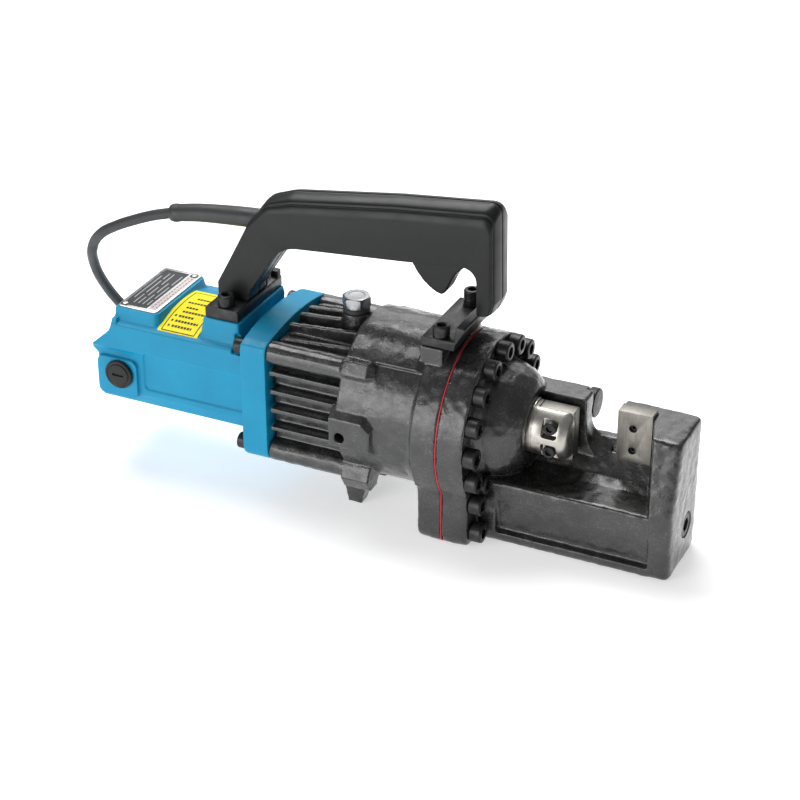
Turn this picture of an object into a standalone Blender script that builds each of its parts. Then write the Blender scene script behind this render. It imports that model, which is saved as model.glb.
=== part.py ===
"""Portable electro-hydraulic bar cutter (metal shear), modelled piece by piece.

Run it with: blender --background --python part.py, or from Blender's text editor.

Every length below is in millimetres, in the machine's own frame: X runs from the motor to the
jaw, Y across the machine and Z up, with the origin at the centre of the head flange's round part,
in the plane of the head gasket. An empty carries that frame, so that in the world the machine
stands on Z = 0 and its length is centred on X = 0.
"""

import math

import bmesh
import bpy
from mathutils import Matrix, Vector

# ---------------------------------------------------------------- driving dimensions
MM = 0.001
GAP = 0.3                    # clearance left between pieces that touch
SEAM = 0.15                  # half of the clearance at the handle's seam

FLANGE_HEIGHT = 85.0         # flange centre above the ground
GASKET_X = 66.25             # gasket plane ahead of the middle of the machine
GROUND = -FLANGE_HEIGHT
BORE_Z = 4.5                 # ram axis above the flange centre
MOTOR_Z = -3.0               # motor axis
GEAR_Z = MOTOR_Z + 20.0      # reduction gear axis

FLANGE_R = 68.0              # round part of the keyhole flanges
FLANGE_SIDE = 55.6           # half width of their straight lower part
FLANGE_T = 20.5              # thickness of each flange
GASKET_T = 1.0
BOLT_CIRCLE_R = 60.2
BOLT_PITCH = 22.5            # degrees between head bolts
BOLT_LAST = 5                # bolts on each side of the top one

HOUSING_REAR = -301.5
HOUSING_FRONT = -169.5
PLATE_REAR, PLATE_FRONT = -169.2, -147.8
CASTING_REAR = -147.5
FINS_FRONT = -84.0
CORNER_BOLT_Y, CORNER_BOLT_Z = 44.0, 42.0

CYLINDER_R = 63.2
BORE_R = 40.0
ROD_R = 21.5
STROKE = 32.0
SHEAR_Y = 6.0                # plane in which the two blades pass each other

STOPPER_Y, STOPPER_Z = 36.5, 12.5

JAW_TIP = 173.5
JAW_NEAR, JAW_FAR = -35.0, 32.0
THROAT_NEAR_Z = -31.5        # throat floor on the near side
THROAT_FAR_Z = -6.0          # throat floor on the far side
LUG_FACE = 88.4              # front of the lug that the C-shaped throat starts from
ARM_TOP = 26.0

HANDLE_HALF = 16.5
CORD_D = 8.5
COIL_R = 51.0                # mean radius of the coiled cord

PINION_TEETH, GEAR_TEETH = 8, 32
TOOTH_MODULE = 1.0

COLOURS = {
    "blue_paint": ((0.026, 0.366, 0.642), 0.42, 0.0),
    "black_casting": ((0.045, 0.045, 0.047), 0.42, 0.35),
    "black_steel": ((0.018, 0.018, 0.02), 0.4, 0.6),
    "black_plastic": ((0.03, 0.031, 0.031), 0.5, 0.0),
    "rubber": ((0.015, 0.016, 0.018), 0.6, 0.0),
    "bright_steel": ((0.55, 0.53, 0.5), 0.28, 1.0),
    "blade_steel": ((0.42, 0.4, 0.37), 0.38, 1.0),
    "zinc": ((0.62, 0.62, 0.64), 0.3, 1.0),
    "red_gasket": ((0.55, 0.03, 0.04), 0.5, 0.0),
    "aluminium": ((0.6, 0.6, 0.61), 0.35, 1.0),
    "copper": ((0.7, 0.33, 0.18), 0.35, 1.0),
    "carbon": ((0.03, 0.03, 0.03), 0.7, 0.0),
    "bronze": ((0.5, 0.33, 0.15), 0.4, 1.0),
    "lamination": ((0.16, 0.16, 0.17), 0.5, 0.8),
}


# ---------------------------------------------------------------- outlines
def arc(centre, radius, start, end, steps):
    """Points on a circle from one angle to another, both in degrees."""
    points = []
    for i in range(steps + 1):
        angle = math.radians(start + (end - start) * i / steps)
        points.append((centre[0] + radius * math.cos(angle), centre[1] + radius * math.sin(angle)))
    return points


def rounded(corners, steps=3):
    """A closed outline from (a, b, radius) corners, each one turned into an arc."""
    outline = []
    count = len(corners)
    for i, (a, b, radius) in enumerate(corners):
        here = Vector((a, b))
        if radius <= 0:
            outline.append((a, b))
            continue
        back = (Vector(corners[i - 1][:2]) - here).normalized()
        ahead = (Vector(corners[(i + 1) % count][:2]) - here).normalized()
        half = back.angle(ahead) / 2
        reach = radius / math.tan(half)
        centre = here + (back + ahead).normalized() * (radius / math.sin(half))
        first = here + back * reach - centre
        turn = first.angle_signed(here + ahead * reach - centre)
        for k in range(steps + 1):
            outline.append(tuple(centre + Matrix.Rotation(-turn * k / steps, 2) @ first))
    return outline


def box_outline(a_lo, a_hi, b_lo, b_hi, radius=0.0, steps=3):
    corners = [(a_lo, b_lo), (a_hi, b_lo), (a_hi, b_hi), (a_lo, b_hi)]
    return rounded([(a, b, radius) for a, b in corners], steps)


def keyhole():
    """The head flange: a disc above a straight block that reaches the ground."""
    meet = math.degrees(math.acos(FLANGE_SIDE / FLANGE_R))
    top = arc((0, 0), FLANGE_R, -meet, 180 + meet, 30)
    left = arc((-FLANGE_SIDE + 9, GROUND + 9), 9, 180, 270, 3)
    right = arc((FLANGE_SIDE - 9, GROUND + 9), 9, 270, 360, 3)
    return top + left + right


def teeth(count, turn=0.0):
    """A straight-sided gear outline with backlash; turn is in tooth pitches."""
    outline = []
    for i in range(count):
        for share, radius in ((-0.3, -1.25), (-0.12, 0.95), (0.12, 0.95), (0.3, -1.25)):
            angle = 2 * math.pi * (i + share + turn) / count
            r = (count / 2 + radius) * TOOTH_MODULE
            outline.append((r * math.cos(angle), r * math.sin(angle)))
    return outline


# ---------------------------------------------------------------- solids
def prism(outline, axis, lo, hi):
    """Extrude an outline along X, Y or Z. Its two numbers are the other axes, in order."""
    flat = "XYZ".index(axis)
    a, b = [i for i in range(3) if i != flat]
    bm = bmesh.new()
    rings = []
    for level in (lo, hi):
        ring = []
        for point in outline:
            place = Vector((0, 0, 0))
            place[flat], place[a], place[b] = level, point[0], point[1]
            ring.append(bm.verts.new(place))
        rings.append(ring)
    bridge(bm, rings[0], rings[1])
    bm.faces.new(rings[0])
    bm.faces.new(rings[1])
    return closed(bm)


def block(x, y, z):
    """A box from three (low, high) pairs."""
    return prism(box_outline(y[0], y[1], z[0], z[1]), "X", x[0], x[1])


def bridge(bm, first, second):
    count = len(first)
    for i in range(count):
        j = (i + 1) % count
        quad = []
        for vert in (first[i], first[j], second[j], second[i]):
            if vert not in quad:
                quad.append(vert)
        bm.faces.new(quad)


def turned(profile, centre=(0, 0, 0), axis="X", steps=24):
    """Revolve (station, radius) points. The profile closes on itself or starts and ends at 0."""
    bm = bmesh.new()
    rings = []
    for station, radius in profile:
        if radius == 0:
            rings.append([bm.verts.new((station, 0, 0))] * steps)
            continue
        ring = []
        for y, z in arc((0, 0), radius, 0, 360, steps)[:-1]:
            ring.append(bm.verts.new((station, y, z)))
        rings.append(ring)
    for first, second in zip(rings, rings[1:]):
        bridge(bm, first, second)
    if profile[0][1] > 0:
        bridge(bm, rings[-1], rings[0])
    turn = {"X": Matrix(), "Y": Matrix.Rotation(math.pi / 2, 4, "Z")}
    turn["Z"] = Matrix.Rotation(-math.pi / 2, 4, "Y")
    bm.transform(Matrix.Translation(centre) @ turn[axis])
    return closed(bm)


def rod(radius, lo, hi, centre=(0, 0, 0), axis="X", steps=24):
    return turned([(lo, 0), (lo, radius), (hi, radius), (hi, 0)], centre, axis, steps)


def layers(rings):
    """A closed solid through rings of points that all have the same count."""
    bm = bmesh.new()
    made = [[bm.verts.new(point) for point in ring] for ring in rings]
    for first, second in zip(made, made[1:]):
        bridge(bm, first, second)
    bm.faces.new(made[0])
    bm.faces.new(made[-1])
    return closed(bm)


def closed(bm):
    bmesh.ops.recalc_face_normals(bm, faces=bm.faces)
    return bm


def merged(parts):
    """Put several separate solids in one mesh, as one Boolean tool."""
    whole = bmesh.new()
    for part in parts:
        mesh = bpy.data.meshes.new("part")
        part.to_mesh(mesh)
        part.free()
        whole.from_mesh(mesh)
        bpy.data.meshes.remove(mesh)
    return whole


def scratch_object(bm):
    mesh = bpy.data.meshes.new("scratch")
    bm.to_mesh(mesh)
    bm.free()
    made = bpy.data.objects.new("scratch", mesh)
    bpy.context.scene.collection.objects.link(made)
    return made


def combine(body, operation, tool):
    """One Boolean step on bmesh solids: UNION, DIFFERENCE or INTERSECT."""
    target, cutter = scratch_object(body), scratch_object(tool)
    step = target.modifiers.new("step", "BOOLEAN")
    step.operation = operation
    step.object = cutter
    seen = target.evaluated_get(bpy.context.evaluated_depsgraph_get())
    result = bmesh.new()
    result.from_mesh(seen.to_mesh())
    seen.to_mesh_clear()
    for thing in (target, cutter):
        mesh = thing.data
        bpy.data.objects.remove(thing)
        bpy.data.meshes.remove(mesh)
    bmesh.ops.remove_doubles(result, verts=result.verts, dist=0.002)
    bmesh.ops.dissolve_degenerate(result, edges=result.edges, dist=0.002)
    return result


def fuse(body, *tools):
    for tool in tools:
        body = combine(body, "UNION", tool)
    return body


def carve(body, *tools):
    for tool in tools:
        body = combine(body, "DIFFERENCE", tool)
    return body


# ---------------------------------------------------------------- scene helpers
def clear_scene():
    for thing in list(bpy.data.objects):
        bpy.data.objects.remove(thing, do_unlink=True)


def material(finish):
    made = bpy.data.materials.get(finish)
    if made:
        return made
    made = bpy.data.materials.new(finish)
    made.use_nodes = True
    colour, roughness, metallic = COLOURS[finish]
    shader = made.node_tree.nodes["Principled BSDF"]
    shader.inputs["Base Color"].default_value = (*colour, 1)
    shader.inputs["Roughness"].default_value = roughness
    shader.inputs["Metallic"].default_value = metallic
    return made


def frame_empty(name, place, parent=None):
    made = bpy.data.objects.new(name, None)
    made.location = Vector(place) * MM
    made.parent = parent
    bpy.context.scene.collection.objects.link(made)
    return made


def add(name, bm, finish, parent, origin=(0, 0, 0), sharp=35):
    """Make a named object whose origin is a point of the machine frame, given in mm."""
    bmesh.ops.translate(bm, verts=bm.verts, vec=-Vector(origin))
    bmesh.ops.scale(bm, verts=bm.verts, vec=(MM, MM, MM))
    mesh = bpy.data.meshes.new(name)
    bm.to_mesh(mesh)
    bm.free()
    mesh.shade_smooth()
    mesh.set_sharp_from_angle(angle=math.radians(sharp))
    made = bpy.data.objects.new(name, mesh)
    made.parent = parent
    made.location = Vector(origin) * MM
    mesh.materials.append(material(finish))
    mesh.materials[0] = own_material(name, finish)
    bpy.context.scene.collection.objects.link(made)
    return made


def own_material(name, finish):
    copy = material(finish).copy()
    copy.name = name
    return copy


# ---------------------------------------------------------------- motor end
def housing_outline(inset):
    """Motor housing section in (Y, Z): flat sides, a ledge, and an arched top."""
    side = 47.5 - inset
    ledge = 49.0 - inset
    crown = arc((0, -70.0 - inset), 115.5, 69, 111, 8)
    right = [(32 - inset * 0.5, -37.5 + inset), (side - 4, -30), (side, -20), (side, 14.5), (ledge, 17)]
    top = [(46.2 - inset, 36.5 - inset)] + crown + [(-46.2 + inset, 36.5 - inset)]
    left = [(-a, b) for a, b in reversed(right)]
    return right + top + left


def motor_housing(frame):
    side_view = [(HOUSING_FRONT, -60), (HOUSING_FRONT, 60), (-289, 60), (-288.5, 40), (-289.4, 34),
                 (-291.5, 29.5), (-295.5, 25.5), (-306, 16.5), (-306, 13), (HOUSING_REAR, 9.5),
                 (HOUSING_REAR, -60)]
    body = combine(prism(housing_outline(0), "X", -320, -150), "INTERSECT",
                   prism(side_view, "Y", -60, 60))
    nameplate_pad = layers([pad_ring(-288.5, -245, 47.2, 17.5, 3), pad_ring(-288.5, -249, 39.6, 43, 6),
                            pad_ring(-288.5, -250, 38.6, 48.4, 6)])
    bracket_pad = layers([pad_ring(-212, -176.5, 41, 36, 2), pad_ring(-209.5, -178.5, 37.6, 55.6, 2)])
    body = fuse(body, nameplate_pad, bracket_pad)
    for side in (-1, 1):
        face = (side * 30, side * 51.5)
        boss = prism(box_outline(-300.5, -264.5, -24.5, 9.5, 6), "Y", min(face), max(face))
        body = fuse(body, boss)
    cavity = rounded([(30, -34, 6), (43.5, -24, 8), (43.5, 20, 6), (27, 40.5, 4),
                      (-27, 40.5, 4), (-43.5, 20, 6), (-43.5, -24, 8), (-30, -34, 6)])
    body = carve(body, prism(cavity, "X", HOUSING_REAR + 4, -150))
    bearing_boss = turned([(-299, 11.3), (-288.5, 11.3), (-288.5, 15), (-299, 15)],
                          (0, 0, MOTOR_Z))
    body = fuse(body, bearing_boss)
    rails = [block((-260, -214), (s * 37 - 7, s * 37 + 7), (MOTOR_Z - 5, MOTOR_Z + 5)) for s in (-1, 1)]
    body = fuse(body, merged(rails))
    cuts = [rod(7.5, -60, 60, (-279.5, 0, MOTOR_Z), "Y", 16)]
    for side in (-1, 1):
        cuts.append(rod(8.6, -181, -150, (0, side * CORNER_BOLT_Y, CORNER_BOLT_Z), steps=16))
        for row in range(4):
            low = -24.0 + 8.0 * row
            cuts.append(block((-310, -290), (side * 27 - 7.5, side * 27 + 7.5), (low, low + 4)))
            cuts.append(block((-180.5 - 6.5 * row, -177 - 6.5 * row),
                              (side * 20 - 9, side * 20 + 9), (-45, -30)))
    for side in (-1, 1):
        cuts.append(rod(2.4, 44, 60, (-194, side * 28, 0), "Z", 10))
    body = carve(body, merged(cuts))
    return add("motor_housing", body, "blue_paint", frame)


def pad_ring(rear, front, half, z, radius):
    """One level of a raised pad: its two front corners are rounded."""
    corners = [(rear, -half, 1.5), (front, -half, radius), (front, half, radius), (rear, half, 1.5)]
    return [(x, y, z) for x, y in rounded(corners)]


def bearing_plate(frame):
    corners = arc((0, -150), 206, 77, 103, 8)
    bottom = arc((-44, -41), 10, 180, 270, 3) + arc((44, -41), 10, 270, 360, 3)
    outline = [(54, 43), (52.5, 48)] + corners + [(-52.5, 48), (-54, 43)] + bottom
    body = prism(outline, "X", PLATE_REAR, PLATE_FRONT)
    cuts = [turned([(-175, 0), (-175, 11.3), (-158.7, 11.3), (-158.7, 7), (-140, 7), (-140, 0)],
                   (0, 0, MOTOR_Z)),
            rod(5.3, -157, -140, (0, 0, GEAR_Z), steps=16)]
    for y in (-CORNER_BOLT_Y, CORNER_BOLT_Y):
        for z in (-CORNER_BOLT_Z, CORNER_BOLT_Z):
            cuts.append(rod(4.4, -175, -140, (0, y, z), steps=12))
    return add("bearing_plate", carve(body, merged(cuts)), "blue_paint", frame)


def brush_gear(frame):
    for side, word in ((-1, "left"), (1, "right")):
        profile = [(32, 5.4), (32, 7.2), (51.8, 7.2), (51.8, 12), (54.6, 12), (55.4, 11), (55.4, 0),
                   (49, 0), (49, 5.4)]
        cap = turned([(side * y, r) for y, r in ring_order(profile)], (-279.5, 0, MOTOR_Z), "Y", 20)
        slot = block((-290, -269), sorted_pair(side * 54, side * 60), (MOTOR_Z - 1.3, MOTOR_Z + 1.3))
        add("brush_cap_" + word, carve(cap, slot), "black_plastic", frame)
        reach = sorted_pair(side * 11.5, side * 31.5)
        brush = block((-282.5, -276.5), reach, (MOTOR_Z - 4.5, MOTOR_Z + 4.5))
        add("carbon_brush_" + word, brush, "carbon", frame)


def ring_order(profile):
    """Start an open-centred profile at its first point on the axis."""
    start = [r for _, r in profile].index(0)
    return profile[start + 1:] + profile[:start + 1]


def sorted_pair(a, b):
    return (min(a, b), max(a, b))


def motor_inside(frame, spin):
    centre = (0, 0, MOTOR_Z)
    stator = turned([(-267, 23), (-267, 28), (-261, 28), (-261, 29.8), (-213, 29.8), (-213, 28),
                     (-207, 28), (-207, 23), (-213, 21.6), (-261, 21.6)], centre, steps=28)
    add("stator_core", stator, "lamination", frame)
    bearing = [(0, 4.3), (0, 11), (7, 11), (7, 4.3)]
    add("rear_bearing", turned([(x - 297, r) for x, r in bearing], centre, steps=20),
        "bright_steel", frame)
    add("front_bearing", turned([(x - 166, r) for x, r in bearing], centre, steps=20),
        "bright_steel", frame)

    slots = []
    for i in range(12):
        for share, radius in ((0.0, 20.8), (0.62, 20.8), (0.68, 17.5), (0.94, 17.5)):
            slots += arc((0, MOTOR_Z), radius, 30 * (i + share), 30 * (i + share), 1)[:1]
    core = carve(prism(slots, "X", -260, -214), rod(5.3, -280, -200, centre, steps=16))
    add("armature_core", core, "lamination", spin, (-237, 0, MOTOR_Z))
    bars = []
    for i in range(24):
        for share, radius in ((0.0, 11.2), (0.8, 11.2), (0.86, 10.4), (0.94, 10.4)):
            bars += arc((0, MOTOR_Z), radius, 15 * (i + share), 15 * (i + share), 1)[:1]
    commutator = carve(prism(bars, "X", -287, -272), rod(5.3, -300, -260, centre, steps=16))
    add("commutator", commutator, "copper", spin, (-279.5, 0, MOTOR_Z))

    shaft = turned([(-297.2, 0), (-297.2, 4), (-289, 4), (-289, 5), (-170, 5), (-170, 4),
                    (-156, 4), (-156, 2.6), (-130, 2.6), (-130, 0)], centre, steps=16)
    outline = [(b, a + MOTOR_Z) for a, b in teeth(PINION_TEETH)]
    shaft = fuse(shaft, prism(outline, "X", -146.5, -131.5))
    add("armature_shaft", shaft, "bright_steel", spin, (-237, 0, MOTOR_Z))

    fan = turned([(-203, 5.4), (-203, 26), (-201, 26), (-201, 9), (-194, 9), (-194, 5.4)],
                 centre, steps=24)
    for i in range(8):
        blade = block((-202, -194.5), (-1, 1), (8, 25))
        turn = Matrix.Rotation(math.radians(45 * i), 4, "X")
        bmesh.ops.transform(blade, matrix=Matrix.Translation(centre) @ turn, verts=blade.verts)
        fan = fuse(fan, blade)
    add("cooling_fan", fan, "black_plastic", spin, (-198, 0, MOTOR_Z))


def pump_drive(frame, spin):
    centre = (0, 0, GEAR_Z)
    outline = [(b, a + GEAR_Z) for a, b in teeth(GEAR_TEETH, 0.5)]
    gear = carve(prism(outline, "X", -145.5, -132.5), rod(6.3, -150, -120, centre, steps=16))
    add("reduction_gear", gear, "bright_steel", spin, (-139, 0, GEAR_Z))
    shaft = turned([(-156, 0), (-156, 4.9), (-147, 4.9), (-147, 6), (-131, 6), (-131, 4.9),
                    (-84.5, 4.9), (-84.5, 0)], centre, steps=16)
    lobe = rod(9, -127, -115, (0, 0, GEAR_Z + 3), steps=20)
    add("eccentric_shaft", fuse(shaft, lobe), "bright_steel", spin, (-139, 0, GEAR_Z))
    plunger = turned([(-24, 0), (-24, 4), (1.2, 4), (1.2, 6.5), (4.2, 6.5), (4.7, 5.5), (4.7, 0)],
                     (-121, 0, 0), "Z", 16)
    add("pump_plunger", plunger, "bright_steel", frame)
    pump = block((-129.5, -98), (-16, 16), (-35, -1.5))
    pump = carve(pump, rod(4.3, -27, 5, (-121, 0, 0), "Z", 16))
    add("pump_block", pump, "black_steel", frame)


def nameplate(frame):
    plate = prism(box_outline(-287, -252.5, -37, 37, 3), "Z", 48.7, 49.6)
    add("nameplate", plate, "aluminium", frame)


# ---------------------------------------------------------------- hydraulic casting
def head_bolt_places():
    for i in range(-BOLT_LAST, BOLT_LAST + 1):
        angle = math.radians(BOLT_PITCH * i)
        yield -BOLT_CIRCLE_R * math.sin(angle), BOLT_CIRCLE_R * math.cos(angle)


def bolt_holes(radius, lo, hi):
    return merged([rod(radius, lo, hi, (0, y, z), steps=12) for y, z in head_bolt_places()])


def fin(y, z, tall):
    """A thin rib along the oil chamber: on the sides it stands in Y, on the top in Z."""
    return block((CASTING_REAR + 2.5, FINS_FRONT + 1), sorted_pair(*y), sorted_pair(*z)) if not tall \
        else prism([(CASTING_REAR + 2.5, z[0]), (FINS_FRONT + 1, z[0]), (FINS_FRONT + 1, z[1] + 5),
                    (CASTING_REAR + 2.5, z[1])], "Y", *sorted_pair(*y))


def cylinder_body(frame):
    core = box_outline(-42, 42, -44, 47, 12)
    body = prism(core, "X", CASTING_REAR, FINS_FRONT + 4)
    body = fuse(body, rod(CYLINDER_R, FINS_FRONT, -10, (0, 0, BORE_Z), steps=40))
    body = fuse(body, prism(keyhole(), "X", -FLANGE_T, -GASKET_T / 2 - GAP))
    for side in (-1, 1):
        for z in (-20, -4, 12, 28):
            body = fuse(body, fin((side * 38, side * 52.5), (z - 2, z + 2), False))
        for z, tip in ((-CORNER_BOLT_Z, -1), (CORNER_BOLT_Z, 1)):
            column = rod(9.2, CASTING_REAR, -70, (0, side * CORNER_BOLT_Y, z), steps=14)
            across, front = (10.6, -66.5) if tip > 0 else (12, -61)
            out = Vector((side * 44.5, z + tip * (1.5 if tip > 0 else 4)))
            boss = prism([tuple(out + Vector(p)) for p in arc((0, 0), across, 0, 300, 5)],
                         "X", FINS_FRONT, front)
            body = fuse(body, column, boss)
        foot = layers([[(-98, side * y, -40) for y in (34, 14)] + [(-68, side * y, -40) for y in (14, 34)],
                       [(-91, side * y, GROUND) for y in (28, 17)] + [(-80, side * y, GROUND) for y in (17, 28)]])
        body = fuse(body, foot)
    for y, z in ((0, 57), (-16, 55.5), (16, 55.5), (-32, 50), (32, 50)):
        body = fuse(body, fin((y - 2, y + 2), (40, z - 1), True))
    for y in (-24, -8, 8, 24):
        body = fuse(body, block((CASTING_REAR + 2.5, FINS_FRONT + 1), (y - 2, y + 2), (-52, -40)))
    drain_pad = prism(rounded([(-89, -14, 0), (-56, -14, 4), (-56, 8, 0), (-63, 15, 0), (-89, 15, 0)]),
                      "Y", -62.8, -30)
    filler_boss = rod(11.5, 40, 68.6, (-96, 0, 0), "Z", 20)
    bracket_pad = block((-26.5, -FLANGE_T + 12), (-37, 37), (30, 70.7))
    body = fuse(body, drain_pad, filler_boss, bracket_pad)

    chamber = box_outline(-36, 36, -38, 39, 14)
    body = carve(body, prism(chamber, "X", CASTING_REAR - 10, -90))
    bore = turned([(-75, 0), (-75, BORE_R), (5, BORE_R), (5, 0)], (0, 0, BORE_Z), steps=36)
    body = carve(body, bore, bolt_holes(5.3, -17.5, 5))
    cuts = [rod(5.3, -100, -82.5, (0, 0, GEAR_Z), steps=16),
            rod(4, -70, -50, (-79, 0, -4.5), "Y", 12),
            rod(6.4, 30, 70, (-96, 0, 0), "Z", 14)]
    for y in (-CORNER_BOLT_Y, CORNER_BOLT_Y):
        for z in (-CORNER_BOLT_Z, CORNER_BOLT_Z):
            cuts.append(rod(4.4, CASTING_REAR - 10, -120, (0, y, z), steps=12))
        cuts.append(rod(4.4, 62, 80, (-13, math.copysign(28.5, y), 0), "Z", 12))
    body = carve(body, merged(cuts))
    return add("cylinder_body", body, "black_casting", frame)


def filler_bolt(frame):
    shank = turned([(50, 0), (50, 6), (69, 6), (69, 10.4), (73, 10.4), (73, 0)], (-96, 0, 0), "Z", 18)
    head = prism([(a - 96, b) for a, b in arc((0, 0), 11.3, 10, 310, 5)], "Z", 72.5, 81.5)
    add("filler_bolt", fuse(shank, head), "zinc", frame)


def head_gasket(frame):
    sheet = prism(keyhole(), "X", -GASKET_T / 2, GASKET_T / 2)
    sheet = carve(sheet, rod(44, -5, 5, (0, 0, BORE_Z), steps=36), bolt_holes(5.6, -5, 5))
    add("head_gasket", sheet, "red_gasket", frame)


# ---------------------------------------------------------------- cutter head
def lug_ring(y, floor, rise):
    """Outline of the lug at one y: its front runs down into the throat as a quarter ellipse."""
    ring = [(30, y, -45), (110, y, -45), (110, y, floor)]
    for x, z in arc((0, 0), 1, 270, 180, 5):
        ring.append((98.5 + 10.1 * x, y, floor + rise * (1 + z)))
    return ring + [(LUG_FACE, y, 26.4), (LUG_FACE - 1.6, y, 28), (30, y, 28)]


def cutter_head(frame):
    back = GASKET_T / 2 + GAP
    body = prism(keyhole(), "X", back, FLANGE_T + 1)
    dome = turned([(15, 0), (15, 48), (26, 46), (33, 44), (40, 41.5), (46, 37.5), (50.5, 33), (53, 29.5),
                   (53.5, 0)], (0, 0, BORE_Z), steps=36)
    body = fuse(body, dome)

    section = rounded([(JAW_NEAR, GROUND, 6), (JAW_FAR, GROUND, 6), (JAW_FAR, THROAT_FAR_Z, 3),
                       (24, THROAT_FAR_Z, 0), (17, -10.5, 0), (11, -18.5, 0), (3, -28, 0),
                       (-6, THROAT_NEAR_Z, 0), (JAW_NEAR, THROAT_NEAR_Z, 3)])
    body = fuse(body, prism(section, "X", 15, 160))
    body = fuse(body, layers([lug_ring(11, -18.4, 28.5), lug_ring(16, -11.4, 22), lug_ring(23, -6.3, 11),
                              lug_ring(26.5, -6.2, 10.5)]))
    centre = (0, STOPPER_Y, STOPPER_Z)
    web = block((36, 79.8), (20, STOPPER_Y), (STOPPER_Z - 11, STOPPER_Z + 11))
    body = fuse(body, rod(11, 36, 79.8, centre, steps=24), web)

    plan = rounded([(141, 14, 0), (143, SHEAR_Y - 1, 0), (156, JAW_NEAR, 0), (JAW_TIP, JAW_NEAR, 5),
                    (JAW_TIP, JAW_FAR, 8), (114.6, JAW_FAR, 2), (114.6, 14, 0)])
    end_face = rounded([(JAW_NEAR, GROUND, 6), (JAW_FAR, GROUND, 6), (JAW_FAR - 0.5, ARM_TOP, 6),
                        (-20, ARM_TOP, 4), (JAW_NEAR, THROAT_NEAR_Z, 3)])
    body = fuse(body, combine(prism(plan, "Z", -100, 60), "INTERSECT", prism(end_face, "X", 90, 200)))

    panel = layers([[(x, JAW_NEAR - 1, -46), (x, JAW_NEAR - 1, -76), (x, JAW_NEAR + 3, -75),
                     (x, JAW_NEAR + 3, -71), (x, JAW_NEAR + 0.1, -48)] for x in (36, 157)])
    body = carve(body, panel)
    rod_r = ROD_R + GAP
    spring_room = turned([(-5, 0), (-5, 34), (17, 34), (17, rod_r), (54.5, rod_r), (54.5, 0)],
                         (0, 0, BORE_Z), steps=36)
    blade_seat = block((108, 142.3), (SHEAR_Y - 2, SHEAR_Y + 12.3), (-13.8, 60))
    body = carve(body, blade_seat, spring_room, bolt_holes(5.3, -5, 40))
    cuts = [rod(5.3, 55, 95, centre, steps=16),
            rod(12, 79.9, 110, centre),
            rod(10.3, JAW_TIP - 11, JAW_TIP + 5, (0, 4.5, -55), steps=20)]
    for z in (15, -3.7):
        cuts.append(rod(3.2, 15, 30, (127, 0, z), "Y", 10))
    body = carve(body, merged(cuts))
    return add("cutter_head", body, "black_casting", frame)


def ram(slide):
    profile = [(-70, 0), (-70, 39), (-69, 39.7), (-60, 39.7), (-60, 36.5), (-54, 36.5), (-54, 39.7),
               (-41, 39.7), (-40, 39), (-40, ROD_R), (77.5, ROD_R), (81, ROD_R - 0.9), (83.6, ROD_R - 2.9),
               (85.1, ROD_R - 6), (85.5, ROD_R - 9.5), (85.5, 0)]
    body = turned(profile, (0, 0, BORE_Z), steps=36)
    far_flat = block((54.5 - STROKE - 1, 95), (SHEAR_Y - 0.3, 40), (-40, 50))
    seat = block((57, 95), (-6, 40), (-40, 50))
    top_flat = block((54.5, 95), (-40, 40), (BORE_Z + 19.5, 50))
    pockets = [prism(box_outline(64.5, 77, z - 7.5, z + 7.5, 2.5, 2), "Y", -30, -14.5) for z in (14.2, -5.8)]
    pilot = [rod(3.1, -16, 0, (70.7, 0, z), "Y", 10) for z in (14.2, -5.8)]
    body = carve(body, far_flat, seat, top_flat, merged(pockets), merged(pilot))
    add("ram", body, "bright_steel", slide)
    seal = turned([(-59.7, 36.8), (-59.7, 39.6), (-54.3, 39.6), (-54.3, 36.8)], (0, 0, BORE_Z), steps=36)
    add("ram_seal", seal, "rubber", slide)

    blade = prism(box_outline(57.3, 85, -16.5, BORE_Z + 19.4, 1, 1), "Y", -5.7, SHEAR_Y - 0.2)
    holes = [rod(3.2, -10, 1, (70.7, 0, z), "Y", 10) for z in (14.2, -5.8)]
    add("movable_blade", carve(blade, merged(holes)), "blade_steel", slide)
    for z, word in ((14.2, "upper"), (-5.8, "lower")):
        screw = turned([(-19.5, 0), (-19.5, 4.6), (-19, 5), (-14.8, 5), (-14.8, 2.8), (0.5, 2.8), (0.5, 0)],
                       (70.7, 0, z), "Y", 14)
        socket = prism([(70.7 + a, z + b) for a, b in arc((0, 0), 2.9, 0, 300, 5)], "Y", -22, -16.5)
        add("blade_screw_" + word, carve(screw, socket), "black_steel", slide)


def fixed_blade(frame):
    blade = prism(box_outline(114.8, 142, -13.5, 28.5, 1, 1), "Y", SHEAR_Y + 0.1, SHEAR_Y + 12)
    holes = [rod(3, 0, 30, (127, 0, z), "Y", 12) for z in (15, -3.7)]
    add("fixed_blade", carve(blade, merged(holes)), "blade_steel", frame)


def stopper_bolt(slide):
    centre = (0, STOPPER_Y, STOPPER_Z)
    body = turned([(58, 0), (58, 5), (81.4, 5), (81.4, 10.8), (82.1, 11.5), (87.9, 11.5), (88.6, 10.8),
                   (88.6, 0)], centre, steps=20)
    add("stopper_bolt", body, "black_steel", slide, (81.4, STOPPER_Y, STOPPER_Z))


def jaw_plug(frame):
    body = rod(10, JAW_TIP - 10.5, JAW_TIP - 0.5, (0, 4.5, -55), steps=20)
    socket = prism([(4.5 + a, -55 + b) for a, b in arc((0, 0), 5.8, 0, 300, 5)], "X", JAW_TIP - 7, JAW_TIP + 2)
    add("jaw_plug", carve(body, socket), "black_steel", frame)


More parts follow.
